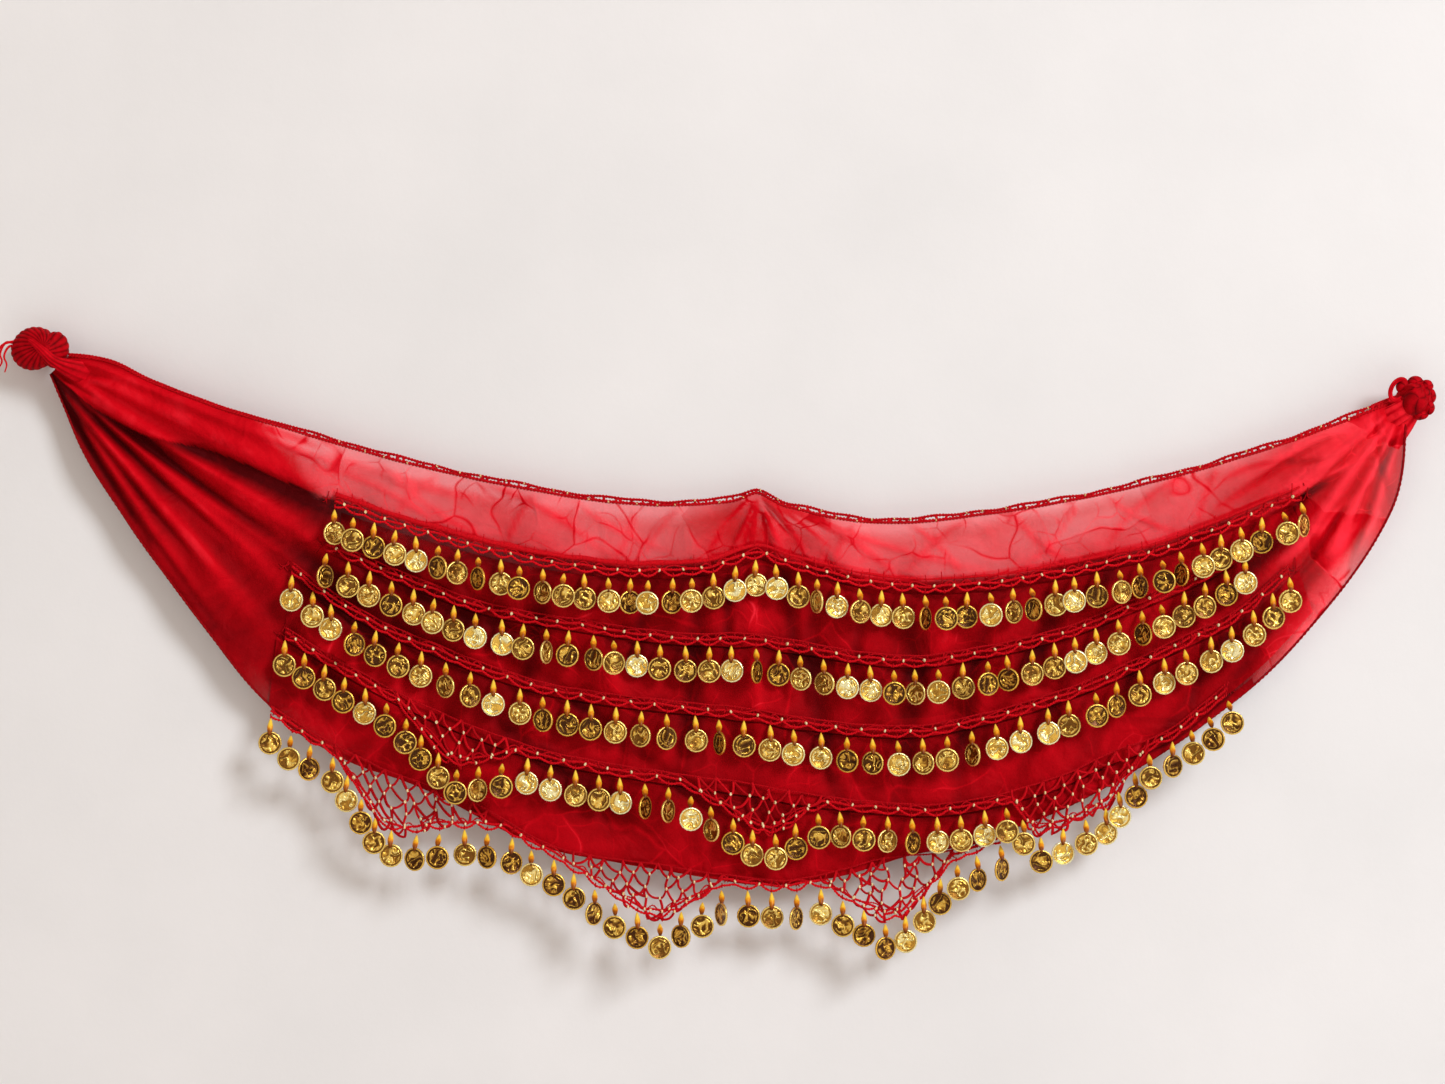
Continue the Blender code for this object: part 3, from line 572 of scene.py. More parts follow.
def coin_brass():
    """Pressed gold coin: a swirling relief inside a bright rim, each coin tarnished in its own way, and
    turned coins darker as painted shade.
    """
    made = Finish("pressed gold coin", Metallic=0.75, Roughness=0.28)
    flat = made.node("UVMap").outputs["UV"]
    corner = made.node("SeparateXYZ", {"Vector": flat}).outputs
    square = made.add(made.times(corner["X"], corner["X"]), made.times(corner["Y"], corner["Y"]))
    far = made.maths("SQRT", square)
    tone = made.attribute("tone")
    shift = made.node("CombineXYZ", {"X": made.times(tone, 61.0), "Y": made.times(tone, 37.0), "Z": 0.0})
    own_place = made.node("Mapping", {"Vector": flat, "Location": shift.outputs["Vector"]}).outputs["Vector"]
    swirl = made.noise(1.15, 1.0, 0.4, own_place, 1.4)
    ridges = made.spread(made.maths("ABSOLUTE", made.maths("SUBTRACT", swirl, 0.5)), 0.01, 0.14, 1.0, 0.0)
    field = made.spread(far, 0.78, 0.70)
    rim = made.spread(far, 0.84, 0.88, -0.3, 1.0)
    fine = made.noise(5.0, 3.0, 0.6, own_place)
    relief = made.add(made.maths("MAXIMUM", made.times(ridges, field), rim), made.play(fine, -0.06, 0.06))
    shown = made.add(made.spread(relief, -0.1, 1.0, 0.0, 0.62), made.spread(tone, 0.0, 1.0, -0.17, 0.46),
                     clamp=True)
    made.set("Base Color", made.ramp(shown, (0.0, (0.07, 0.020, 0.002)), (0.24, (0.32, 0.13, 0.012)),
                                     (0.48, (0.85, 0.48, 0.065)), (0.75, (1.0, 0.74, 0.22)),
                                     (1.0, (1.0, 0.90, 0.50))))
    made.set("Roughness", made.play(fine, 0.2, 0.38))
    return made.bump(relief, 0.8, 0.0012)


def amber_bead():
    """Teardrop bead: bright yellow towards its tip, amber to dark brown at its base."""
    made = Finish("amber teardrop bead", Roughness=0.35, Specular_IOR_Level=0.15)
    height = made.node("SeparateXYZ", {"Vector": made.node("UVMap").outputs["UV"]}).outputs["Y"]
    shade = made.add(height, made.play(made.noise(420.0), -0.08, 0.08), clamp=True)
    made.set("Base Color", made.ramp(shade, (0.0, (0.10, 0.018, 0.001)), (0.24, (0.34, 0.075, 0.002)),
                                     (0.42, (0.82, 0.27, 0.008)), (0.58, (1.0, 0.62, 0.045)),
                                     (0.8, (1.0, 0.70, 0.08)), (1.0, (0.95, 0.44, 0.03))))
    return made.bump(made.noise(260.0), 0.1, 0.0004)


def plain_bead(name, light, dark, metallic, roughness):
    """A small bead of one colour, a little mottled."""
    made = Finish(name, Metallic=metallic, Roughness=roughness)
    made.set("Base Color", made.mix(made.play(made.noise(500.0)), light, dark))
    return made.bump(made.noise(700.0), 0.15, 0.0002)


def brushed_steel():
    """Grey steel with fine scratches."""
    made = Finish("pin steel", Metallic=1.0, Roughness=0.32)
    scratches = made.noise(600.0, 3.0, 0.6)
    made.set("Base Color", made.mix(scratches, (0.52, 0.52, 0.54), (0.70, 0.70, 0.72)))
    made.set("Roughness", made.play(scratches, 0.26, 0.42))
    return made.bump(scratches, 0.15, 0.0002)


def plaster():
    """The wall, pale and a little pink, open from behind so that the part's back can be seen."""
    made = Finish("pale plaster", Roughness=0.9, Specular_IOR_Level=0.1)
    mottle = made.play(made.noise(5.0, 4.0, 0.55))
    made.set("Base Color", made.mix(mottle, (0.83, 0.79, 0.78), (0.78, 0.745, 0.735)))
    made.set("Alpha", made.maths("SUBTRACT", 1.0, made.node("NewGeometry").outputs["Backfacing"]))
    return made.bump(made.noise(120.0, 4.0, 0.6), 0.08, 0.002)


def pale_floor():
    """A plain pale floor."""
    made = Finish("pale floor", Roughness=0.8)
    made.set("Base Color", made.mix(made.noise(3.0, 3.0), (0.78, 0.77, 0.76), (0.72, 0.71, 0.70)))
    return made.material


CHIFFON = chiffon()
KNOT_CLOTH = knot_cloth()
CROCHET = crochet()
COIN_BRASS = coin_brass()
AMBER_BEAD = amber_bead()
CREAM_BEAD = plain_bead("cream seed bead", (0.95, 0.82, 0.52), (0.80, 0.58, 0.26), 0.1, 0.3)
GOLD_BEAD = plain_bead("gold seed bead", (0.95, 0.76, 0.38), (0.62, 0.42, 0.14), 0.8, 0.3)


# The cloth's surface

def beside_line(x, z, x0, z0, x1, z1):
    """How far along a line from 0 to 1, and how far aside of it in mm, each place lies."""
    along_x, along_z = x1 - x0, z1 - z0
    length = math.hypot(along_x, along_z)
    t = ((x - x0) * along_x + (z - z0) * along_z) / length ** 2
    return t, ((x - x0) * along_z - (z - z0) * along_x) / length


def fold_height(x, z):
    """How far the folds, which widen along their lines, push the cloth to the front."""
    total = np.zeros_like(x)
    for x0, z0, x1, z1, half_width, height in FOLDS:
        t, aside = beside_line(x, z, x0, z0, x1, z1)
        half = half_width * (0.35 + 0.65 * np.clip(t, 0.0, 1.0))
        fade = np.clip(t / 0.15, 0.0, 1.0) * np.clip((1.35 - t) / 0.5, 0.0, 1.0)
        total += height * fade * np.exp(-(aside / half) ** 2)
    return total


def crease_height(x, z, creases):
    """Finer ridges and troughs, each with a slight bend."""
    total = np.zeros_like(x)
    for x0, z0, x1, z1, half_width, height, bend in creases:
        t, aside = beside_line(x, z, x0, z0, x1, z1)
        inside = np.clip(t, 0.0, 1.0)
        aside = aside - bend * 4 * inside * (1 - inside)
        fade = np.clip((t + 0.02) / 0.2, 0.0, 1.0) * np.clip((1.15 - t) / 0.35, 0.0, 1.0)
        total += height * fade * np.exp(-(aside / half_width) ** 2)
    return total


def below_roll(x, z):
    """How far below the roll's lower edge a point lies."""
    return heights_on(smooth_points(ROLL_EDGE, 6), x) - z


def roll_height(x, z):
    """The roll at the left end stands proud of the folds under it."""
    along = step_up(x, 16, 60) * (1 - step_up(x, 150, 235))
    return ROLL_HEIGHT * along * (1 - step_up(below_roll(x, z), -3.5, 2.5))


def cloth_depth(x, z):
    """Depth of the cloth: the solid's surface with the finer creases."""
    waves = sum(height * np.sin(math.tau * x / length + z / slant) for length, height, slant in WAVES)
    fine = crease_height(x, z, CREASES) + crease_height(x, z, TROUGHS) + roll_height(x, z)
    return CLOTH_DEPTH - fold_height(x, z) - waves - fine


def crossing(column, line):
    """How far down a column its crossing with a row lies, from 0 to 1."""
    x0, z0, x1, z1 = column
    low, high = 0.0, 1.0
    for _ in range(18):
        t = (low + high) / 2
        if z0 + (z1 - z0) * t > height_on(line, x0 + (x1 - x0) * t):
            low = t
        else:
            high = t
    return (low + high) / 2


def row_shares():
    """For each column, how far down it each of rows 1 to 4 runs."""
    shares = np.zeros((len(COLUMNS), 4))
    spans = []
    last = len(COLUMNS) - 1
    for row in range(4):
        line = ROWS[str(row + 1)]
        inside = [i for i, column in enumerate(COLUMNS)
                  if line[0][0] <= (column[0] + column[2]) / 2 <= line[-1][0]]
        first, final = inside[0], inside[-1]
        even = (row + 1) / 5
        at_first, at_final = crossing(COLUMNS[first], line), crossing(COLUMNS[final], line)
        for i, column in enumerate(COLUMNS):
            if i < first:
                shares[i, row] = even + (at_first - even) * i / first
            elif i > final:
                shares[i, row] = even + (at_final - even) * (last - i) / (last - final)
            else:
                shares[i, row] = crossing(column, line)
        spans.append((first, final))
    return shares, spans


def grid_faces(wide, tall):
    """Quads that face the front, over a grid of points held column by column."""
    i, j = np.meshgrid(np.arange(wide - 1), np.arange(tall - 1), indexing="ij")
    a = (i * tall + j).ravel()
    return np.stack([a, a + 1, a + tall + 1, a + tall], axis=1)


def ground_looks(x, z, share):
    """How opaque and how deep in colour the single layer is at each point, with its vein lines and painted
    ridge highlights; the depth carries painted shade and light from the folds and the roll.
    """
    row = ROWS["1"]
    over_row = z - heights_on(row, x)
    right = step_up(x, *RIGHT_END)
    left = 1 - step_up(x + 0.73 * z, 122, 140)
    lower = 1 - step_up(over_row, -3.0, 0.6)
    # full is 1 where the cloth is gathered or doubled, and 0 where one layer is see-through
    full = np.maximum(np.maximum(left, right), lower)
    peak = np.exp(-((x - WAIST_PEAK) / 58) ** 2 - ((z + 112) / 40) ** 2)
    creases = crease_height(x, z, CREASES)
    relief = fold_height(x, z) + 1.5 * creases + (1 + 0.9 * right) * crease_height(x, z, TROUGHS)
    # the roll at the left end: a painted shadow under it and painted light on its top
    below = below_roll(x, z)
    shadow = np.where(below > 0, np.exp(-(below / 13) ** 2), 0.0) * (1 - step_up(x, 200, 270))
    above = (1 - step_up(below, -4, 1)) * (1 - step_up(x, 150, 240))
    # a fold runs from row 1's right end up to the knot, and the cloth under it is painted in shade
    fold_x, fold_z, fold_rise = 936, -112, 0.6
    below_fold = fold_rise * (x - fold_x) + fold_z - z
    under_fold = step_up(below_fold, 0, 3) * np.exp(-(below_fold / 36) ** 2) * right
    # painted shade and light: fold hollows darker and ridges lighter, a painted shadow under the roll and
    # painted light on top of it, over the deep colour of the gathered cloth
    fold_shade = np.clip(0.71 - 0.075 * relief + 0.5 * shadow - 0.1 * above, 0.30, 1.0)
    fold_shade = fold_shade - (0.38 - 0.24 * under_fold) * right
    deep = 0.03 + full * (fold_shade - 0.03) + 0.25 * peak * (1 - full)
    cover = 0.62 + 0.38 * full + (0.24 * peak + 0.07 * np.exp(-(over_row / 13) ** 2)) * (1 - full)
    # the wall shows a little below row 1's left end, and along the outer edge near both ends
    window = 0.12 * lower * step_up(over_row, -42, -28) * (1 - step_up(x, 330, 430)) * step_up(x, 200, 270)
    outer = step_up(share, 0.80, 0.90) * right * (1 - 0.8 * step_up(x, 982, 1012))
    left_rim = step_up(share, 0.9, 0.98) * step_up(x, 150, 190) * (1 - step_up(x, 230, 290))
    rim = np.maximum(1.3 * outer, left_rim)
    band = ((over_row > -1.0) & (over_row < 4.6) & (x > row[0][0]) & (x < row[-1][0])) * 1.0
    lines = np.clip(np.abs(creases), 0, 1.2) * (1 - full)
    cover = np.clip(cover + 0.2 * lines + 0.22 * band - window - 0.16 * rim, 0, 1)
    deep = np.clip(deep + 0.06 * lines + 0.12 * band - 0.1 * outer, 0, 1)
    # vein lines on the see-through cloth, painted ridge highlights on the opaque right end
    veins_and_ridge_light = np.maximum(1 - full, outer) + OPAQUE_RIDGE_HIGHLIGHT * full * right * (1 - outer)
    return cover, deep, veins_and_ridge_light


def tier_looks(x, z, step, row):
    """The same for a tier; step runs from 0 at its upper edge to 1 at its lower one."""
    ends = np.minimum(step_up(x, x[0].mean(), x[0].mean() + TIER_BLEND),
                      1 - step_up(x, x[-1].mean() - TIER_BLEND, x[-1].mean()))
    # painted shade in the troughs and painted light on the ridges, and a painted shadow just under the
    # crochet row above
    relief = np.clip(-crease_height(x, z, TROUGHS) / 2.8, -1.0, 1.3)
    under = np.exp(-(step / 0.28) ** 2)
    deep = 0.50 + 0.24 * relief + 0.22 * under - 0.22 * step_up(x, *RIGHT_END)
    beneath = ground_looks(x, z, 0.5 + 0 * x)[1]
    thin = 0.2 * (1 - step_up(x, 330, 430)) if row == 0 else 0.0
    return 1.0 - (0.06 + thin) * ends, beneath + (deep - beneath) * ends, OPAQUE_RIDGE_HIGHLIGHT


def hem_drop(columns):
    """The cloth reaches a little below the hem row's upper cord, between its two ends."""
    line = ROWS["hem"]
    return 3.4 * step_up(columns[:, 2], line[0][0] - 12, line[0][0] + 20) * (
        1 - step_up(columns[:, 2], line[-1][0] - 20, line[-1][0] + 12))


def column_lengths(columns):
    """The length of each column, from the waist to the outer edge."""
    return np.hypot(columns[:, 2] - columns[:, 0], columns[:, 3] - columns[:, 1])


def down_columns(columns, share):
    """x and z a share of the way down each column."""
    x = columns[:, 0, None] + (columns[:, 2] - columns[:, 0])[:, None] * share
    z = columns[:, 1, None] + (columns[:, 3] - columns[:, 1])[:, None] * share
    return x, z


def cloth_piece(name, node, x, y, z, looks):
    """A thin shell of chiffon over a grid of points, which stands for a CAD node."""
    values = {label: np.broadcast_to(look, x.shape).ravel()
              for label, look in zip(("cover", "deep", "veins_and_ridge_light"), looks)}
    points = np.stack([x, y, z], axis=-1).reshape(-1, 3)
    return add_piece(name, points, grid_faces(*x.shape), CHIFFON, (node,), values)


def make_ground(columns, stops):
    """The single layer, from the waist to the outer edge."""
    levels = [FIRST_BAND_LEVELS] + [BAND_LEVELS] * 4
    share = [stops[:, k, None] + (stops[:, k + 1] - stops[:, k])[:, None] * np.arange(count)[None] / count
             for k, count in enumerate(levels)] + [stops[:, 5:]]
    share = np.concatenate(share, axis=1)
    share = share * (1 + hem_drop(columns) / column_lengths(columns))[:, None]
    x, z = down_columns(columns, share)
    ground = cloth_piece("ground_cloth_chiffon", "ground_cloth", x, cloth_depth(x, z), z,
                         ground_looks(x, z, share))


def make_tier(row, columns, stops):
    """The second layer below a crochet row, over the columns that the row spans."""
    lengths = column_lengths(columns)
    reach = (LADDER - 1.5) if row < 3 else hem_drop(columns)
    upper = stops[:, row + 1] + LADDER / lengths
    lower = stops[:, row + 2] + reach / lengths
    step = np.linspace(0.0, 1.0, BAND_LEVELS + 1)[None]
    x, z = down_columns(columns, upper[:, None] + (lower - upper)[:, None] * step)
    y = cloth_depth(x, z) - CLOTH_WALL - TIER_GAP - TIER_LIFT * (1 - step)
    tier = cloth_piece("tier_%d_chiffon" % (row + 1), "tier_%d" % (row + 1), x, y, z,
                       tier_looks(x, z, step, row))


def make_cloth():
    """The ground cloth and its four tiers, and the columns that they are laid out on."""
    shares, spans = row_shares()
    columns = np.array(COLUMNS)
    beside = np.abs(columns[:, 0] - WAIST_PEAK)
    columns[:, 1] += 2.0 * np.exp(-(beside / 7) ** 2) - 2.6 * np.exp(-((beside - 18) / 12) ** 2)
    stops = np.concatenate([np.zeros((len(COLUMNS), 1)), shares, np.ones((len(COLUMNS), 1))], axis=1)
    make_ground(columns, stops)
    for row, (first, final) in enumerate(spans):
        make_tier(row, columns[first:final + 1], stops[first:final + 1])
    return columns


# The coin and the beads, each modelled once

def pick(thing, faces=None, corners=None):
    """Into edit mode with only the faces, or else the corners, that pass a test selected."""
    bpy.ops.object.mode_set(mode="OBJECT")
    mesh = thing.data
    for part in (mesh.vertices, mesh.edges, mesh.polygons):
        part.foreach_set("select", [False] * len(part))
    if faces:
        for face in mesh.polygons:
            face.select = faces(face)
    else:
        for corner in mesh.vertices:
            corner.select = corners(corner)
    bpy.context.tool_settings.mesh_select_mode = (not faces, False, bool(faces))
    bpy.ops.object.mode_set(mode="EDIT")


def taken(thing):
    """Points in millimetres and faces of a model, which is then removed."""
    points = np.array([v.co for v in thing.data.vertices]) / MM
    faces = [tuple(face.vertices) for face in thing.data.polygons]
    bpy.data.objects.remove(thing)
    return points, faces


def model_coin():
    """A thin round coin facing the front, with a raised rim."""
    rim_wide, rim_high, sides = 0.0011, 0.00035, 16
    clear_selection()
    bpy.ops.mesh.primitive_cylinder_add(vertices=sides, radius=COIN_RADIUS * MM, depth=COIN_THICK * MM,
                                        rotation=(math.pi / 2, 0, 0))
    coin = bpy.context.object
    bpy.ops.object.transform_apply(location=True, rotation=True, scale=True)
    pick(coin, faces=lambda face: face.normal.y < -0.9)
    bpy.ops.mesh.inset(thickness=rim_wide, depth=0)
    bpy.ops.mesh.inset(thickness=rim_high * 1.5, depth=-rim_high)
    bpy.ops.object.mode_set(mode="OBJECT")
    return taken(coin)


# radius in mm of each ring of the teardrop bead, from its base to its tip
TEARDROP_RINGS = (0.9, 1.5, 2.1, 2.3, 1.7, 1.0, 0.4)
TEARDROP_TALL = 14.6


def model_teardrop():
    """A teardrop bead: round at its base, drawn out to a point at its tip."""
    clear_selection()
    rings = len(TEARDROP_RINGS) + 1
    bpy.ops.mesh.primitive_uv_sphere_add(segments=7, ring_count=rings, radius=TEARDROP_TALL / 2 * MM)
    bead = bpy.context.object
    for n, wanted in enumerate(TEARDROP_RINGS):
        lift = -TEARDROP_TALL / 2 * MM * math.cos(math.pi * (n + 1) / rings)
        across = TEARDROP_TALL / 2 * MM * math.sin(math.pi * (n + 1) / rings)
        pick(bead, corners=lambda corner: abs(corner.co.z - lift) < 1e-5)
        narrow = wanted * MM / across
        bpy.ops.transform.resize(value=(narrow, narrow * 0.85, 1.0), center_override=(0, 0, 0))
    bpy.ops.object.mode_set(mode="OBJECT")
    return taken(bead)


def model_seed_bead():
    """A small ring-shaped bead, 2.6 mm across, its hole along X."""
    clear_selection()
    bpy.ops.mesh.primitive_torus_add(major_segments=7, minor_segments=4, major_radius=0.0008,
                                     minor_radius=0.00055, rotation=(0, math.pi / 2, 0))
    bead = bpy.context.object
    bpy.ops.transform.resize(value=(1.25, 1.0, 1.0))
    bpy.ops.object.transform_apply(location=True, rotation=True, scale=True)
    return taken(bead)


def placed(points, x, y, z, turn=0.0, tilt=0.0, scale=1.0, lean=0.0):
    """A model's points leant forward, turned about the vertical, tilted in its own plane and moved."""
    matrix = Matrix.Rotation(turn, 3, "Z") @ Matrix.Rotation(lean, 3, "X") @ Matrix.Rotation(tilt, 3, "Y")
    return points @ np.array(matrix).T * scale + np.array([x, y, z])


# The crochet rows

def net_dip(row, x):
    """How far a net point takes the lower cord below its usual line."""
    for name, start, low_from, low_to, end, depth in NET_POINTS:
        if name == row and start < x < end:
            if x < low_from:
                return depth * (x - start) / (low_from - start)
            if x > low_to:
                return depth * (end - x) / (end - low_to)
            return depth
    return 0.0


def drop_places(row, line, letters):
    """Even steps along the lower cord, each with a little play, as in the part's source."""
    chance = random.Random("drops " + row)
    fine = []
    x = line[0][0] + 2.0
    while x < line[-1][0] - 2.0:
        fine.append((x, height_on(line, x) - LADDER - net_dip(row, x)))
        x += 0.5
    lengths = [0.0]
    for a, b in zip(fine, fine[1:]):
        lengths.append(lengths[-1] + math.dist(a, b))
    places = []
    for i in range(len(letters)):
        play = chance.uniform(-0.08, 0.08) if 0 < i < len(letters) - 1 else 0.0
        wanted = lengths[-1] * (i + play) / (len(letters) - 1)
        nearest = min(range(len(fine)), key=lambda n: abs(lengths[n] - wanted))
        places.append(fine[nearest])
    return places


def coin_turns(row, letters, places):
    """Each coin's turn about the vertical, as in the part's source."""
    chance = random.Random("turns " + row)
    turns = []
    for i, letter in enumerate(letters):
        turn = (TURNS[letter] + chance.uniform(-TURN_PLAY, TURN_PLAY)) * chance.choice((-1, 1))
        beside = [places[n] for n in (i - 1, i + 1) if 0 <= n < len(places)]
        if any(abs(places[i][1] - b[1]) > STEEP * abs(places[i][0] - b[0]) for b in beside):
            turn *= STEEP_TURN
        turns.append(math.radians(turn))
    return turns


class Solid:
    """Looks up how far forward a CAD node's corners stand."""

    def __init__(self, name):
        self.corners = np.array([v.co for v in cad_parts[name].data.vertices]) / MM

    def depth(self, x, z, reach, height=0.06):
        away = np.abs(self.corners - (x, 0.0, z))
        near = self.corners[(away[:, 0] < reach) & (away[:, 2] < height)]
        if not len(near):
            raise ValueError("no corner at %.1f, %.1f" % (x, z))
        return float((near[:, 1].min() + near[:, 1].max()) / 2)


class RowShape:
    """Where one crochet row's cords and drops lie, from its CAD node."""

    def __init__(self, row):
        solid = Solid("coin_row_" + row)
        self.row, self.line = row, ROWS[row]
        self.places = drop_places(row, self.line, ROW_DROPS[row])
        self.turns = coin_turns(row, ROW_DROPS[row], self.places)
        last = len(self.places) - 1
        rungs = [i for i, (x, z) in enumerate(self.places)
                 if i % 2 == 0 or i == last or net_dip(row, x) > 4.0]
        self.cord_x = [x for x, z in self.places]
        self.cord_y = [solid.depth(x, z - CORD_HALF, 1.5) for x, z in self.places]
        self.upper_x = [self.cord_x[i] for i in rungs]
        self.upper_y = [solid.depth(x, height_on(self.line, x) + CORD_HALF, 1.5) for x in self.upper_x]
        self.coin_y = [solid.depth(x, z - COIN_DROP - COIN_RADIUS, 0.9) for x, z in self.places]
        self.fine_x = np.arange(self.places[0][0], self.places[-1][0], 1.0)
        self.top_z = np.array([height_on(self.line, x) for x in self.fine_x])
        self.low_z = np.array([height_on(self.line, x) - LADDER - net_dip(row, x) for x in self.fine_x])

    def point(self, x, share):
        """The place a share of the way down from the upper cord to the lower cord at x."""
        top = height_on(self.line, x)
        low = top - LADDER - net_dip(self.row, x)
        upper, lower = np.interp(x, self.upper_x, self.upper_y), np.interp(x, self.cord_x, self.cord_y)
        return np.array([x, upper + (lower - upper) * share, top + (low - top) * share])


def sagging(a, b, sag):
    """A thread from a to b that hangs a little between them."""
    count = max(3, round(float(np.linalg.norm(b - a)) / THREAD_STEP) + 1)
    t = np.linspace(0.0, 1.0, count)[:, None]
    path = a + (b - a) * t
    path[:, 2:] -= sag * 4 * t * (1 - t)
    return path


def add_thread(cords, a, b, sag, radius, tone):
    cords.put(*tube(sagging(a, b, sag), radius, 4), tone)


def on_cloth(point, forward):
    """The same place, moved to stand a little in front of the ground cloth."""
    return np.array([point[0], cloth_depth(point[:1], point[2:])[0] - forward, point[2]])


def make_drops(shape, coin, teardrop, coins, drops, cords, chance):
    """A bead and a coin on each drop; the bead's base lies over the top of its coin."""
    uv = coin[0][:, [0, 2]] / COIN_RADIUS
    bead_uv = np.stack([teardrop[0][:, 0], teardrop[0][:, 2] / TEARDROP_TALL + 0.5], axis=1)
    for n, ((x, z), turn) in enumerate(zip(shape.places, shape.turns)):
        coin_y, cord_y = shape.coin_y[n], shape.cord_y[n]
        # the tone runs from 0, a dark coin, to 1, a bright one; the hem's coins are darker
        tone = chance.betavariate(1.6, 2.6) * 0.8 if shape.row == "hem" else chance.betavariate(0.85, 0.95)
        # a coin turned from the front gets painted shade: its tone is lowered
        if ROW_DROPS[shape.row][n] != "f":
            tone *= 0.55
        tilt = chance.uniform(-0.12, 0.12)
        swing = chance.uniform(-0.9, 0.9)
        spin = chance.uniform(0, math.tau)
        spun = uv @ np.array(((math.cos(spin), -math.sin(spin)), (math.sin(spin), math.cos(spin))))
        coins.put(placed(coin[0], x + swing, coin_y, z - COIN_DROP, turn, tilt), coin[1], tone, spun)
        base_y = min(coin_y - COIN_THICK / 2 - BEAD_CLEAR * (1 + abs(math.sin(turn))), cord_y - BEAD_CLEAR)
        tip = np.array([x, cord_y - 1.2, z - BEAD_DROP + TEARDROP_TALL / 2 - 0.2])
        lean = math.atan2(tip[1] - base_y, TEARDROP_TALL)
        bead = placed(teardrop[0], x + swing * 0.4, (tip[1] + base_y) / 2, z - BEAD_DROP,
                      tilt=chance.uniform(-0.08, 0.08), lean=-lean)
        drops.put(bead, teardrop[1], chance.random(), bead_uv)
        cords.put(*tube([tip + (0, 0.3, 2.4), tip + (0, -0.2, 0.4), tip + (0, -0.4, -1.0)], 0.7, 4), 0.5)


def lay_strands(shape, cords, chance):
    """The scallops between the drops, the beaded strand, a loose strand and the upper cord."""
    x, cord_x, low_z = shape.fine_x, shape.cord_x, shape.low_z
    near = np.abs(x[:, None] - np.array(cord_x)[None]).min(axis=1)
    gap = (cord_x[-1] - cord_x[0]) / (len(cord_x) - 1)
    heights = np.array([chance.uniform(1.4, 4.6) for _ in range(len(cord_x) + 1)])
    arch = heights[np.searchsorted(cord_x, x)] * np.clip(near / (gap * 0.5), 0, 1) ** 2
    wander = 0.5 * np.sin(x / 9.0) + 0.35 * np.sin(x / 4.3 + 1.0)
    loose = 2.0 * np.sin(x / 2.9 + 1.5 * np.sin(x / 7.3)) + wander
    low_y = np.interp(x, cord_x, shape.cord_y)
    top_y = np.interp(x, shape.upper_x, shape.upper_y)
    tone = 0.16 if shape.row in ("1", "hem") else 0.26
    twisted(cords, points_of(x, low_y - 0.9, low_z + SCALLOP_RISE + arch + 0.5 * wander),
            *SCALLOP_CORD, tone)
    twisted(cords, points_of(x, low_y - 0.2, low_z + STRAND_RISE + 1.3 * wander),
            *BEADED_STRAND, tone + 0.08)
    twisted(cords, points_of(x, low_y - 0.5, np.minimum(low_z + 8.0 + loose, shape.top_z - 0.3)),
            *LOOSE_STRAND, tone + 0.2)
    if shape.row == "1":
        # a flat ribbon edges the see-through band, narrower past the peak
        half_width = 2.1 + 0.4 * wander - 1.0 * step_up(x, 460, 580)
        ribbon = points_of(x, top_y - 0.4, shape.top_z + 1.6 + 0.5 * wander)
        cords.put(*tube(ribbon, half_width, flat=0.3), 0.3)
    else:
        twisted(cords, points_of(x, top_y, shape.top_z + 0.5 * wander), *UPPER_CORD, 0.5)


def add_posts(shape, cords, chance):
    """Forked stitches from the upper cord to the strands, and on row 1 loose ends that stand up."""
    at = shape.cord_x[0] + chance.uniform(2.0, 5.0)
    while at < shape.cord_x[-1]:
        if net_dip(shape.row, at) < 3.0:
            lean = chance.uniform(-2.4, 2.4)
            top, low = shape.point(at + lean, 0.0), shape.point(at, 0.5)
            fork = top + (low - top) * 0.5
            add_thread(cords, top, fork, 0.0, 0.8, chance.uniform(0.4, 0.75))
            if shape.row == "1":
                spike = top + np.array([chance.uniform(-1.0, 1.0), -0.6, chance.uniform(2.5, 7.0)])
                add_thread(cords, top + (0, -0.6, 0), spike, 0.3, 0.5, 0.3)
            for side in (-1, 1):
                foot = low + np.array([side * chance.uniform(0.6, 2.6), 0.0, 0.0])
                add_thread(cords, fork, foot, 0.3, 0.65, chance.uniform(0.4, 0.75))
        at += chance.uniform(7.0, 12.5)


def add_seed_beads(shape, cream, seed_bead, chance):
    """A seed bead on the beaded strand between each two drops."""
    for a, b in zip(shape.cord_x, shape.cord_x[1:]):
        middle = (a + b) / 2 + chance.uniform(-1.5, 1.5)
        place = shape.point(middle, 1.0) + np.array([0.0, -1.7, STRAND_RISE])
        cream.put(placed(seed_bead[0], *place, chance.uniform(-0.6, 0.6), chance.uniform(-0.6, 0.6), 1.1),
                  seed_bead[1], chance.random())


def add_end_stitches(shape, cords, chance):
    """Where a row ends, threads run out over the cloth from two small knots."""
    for share, side in ((0.2, -1), (0.3, 1)):
        knot = shape.point(shape.cord_x[0] if side < 0 else shape.cord_x[-1], share)
        knot += np.array([side * chance.uniform(4.0, 9.0), 0.0, chance.uniform(-2.0, 2.0)])
        knot = on_cloth(knot, 1.2)
        for spoke in range(END_THREADS):
            turn = spoke * math.tau / END_THREADS + chance.uniform(-0.6, 0.6)
            far = knot + np.array([math.cos(turn), 0.0, math.sin(turn)]) * chance.uniform(2.5, 9.0)
            add_thread(cords, knot, on_cloth(far, 0.6), 1.2, 0.5, 0.5)


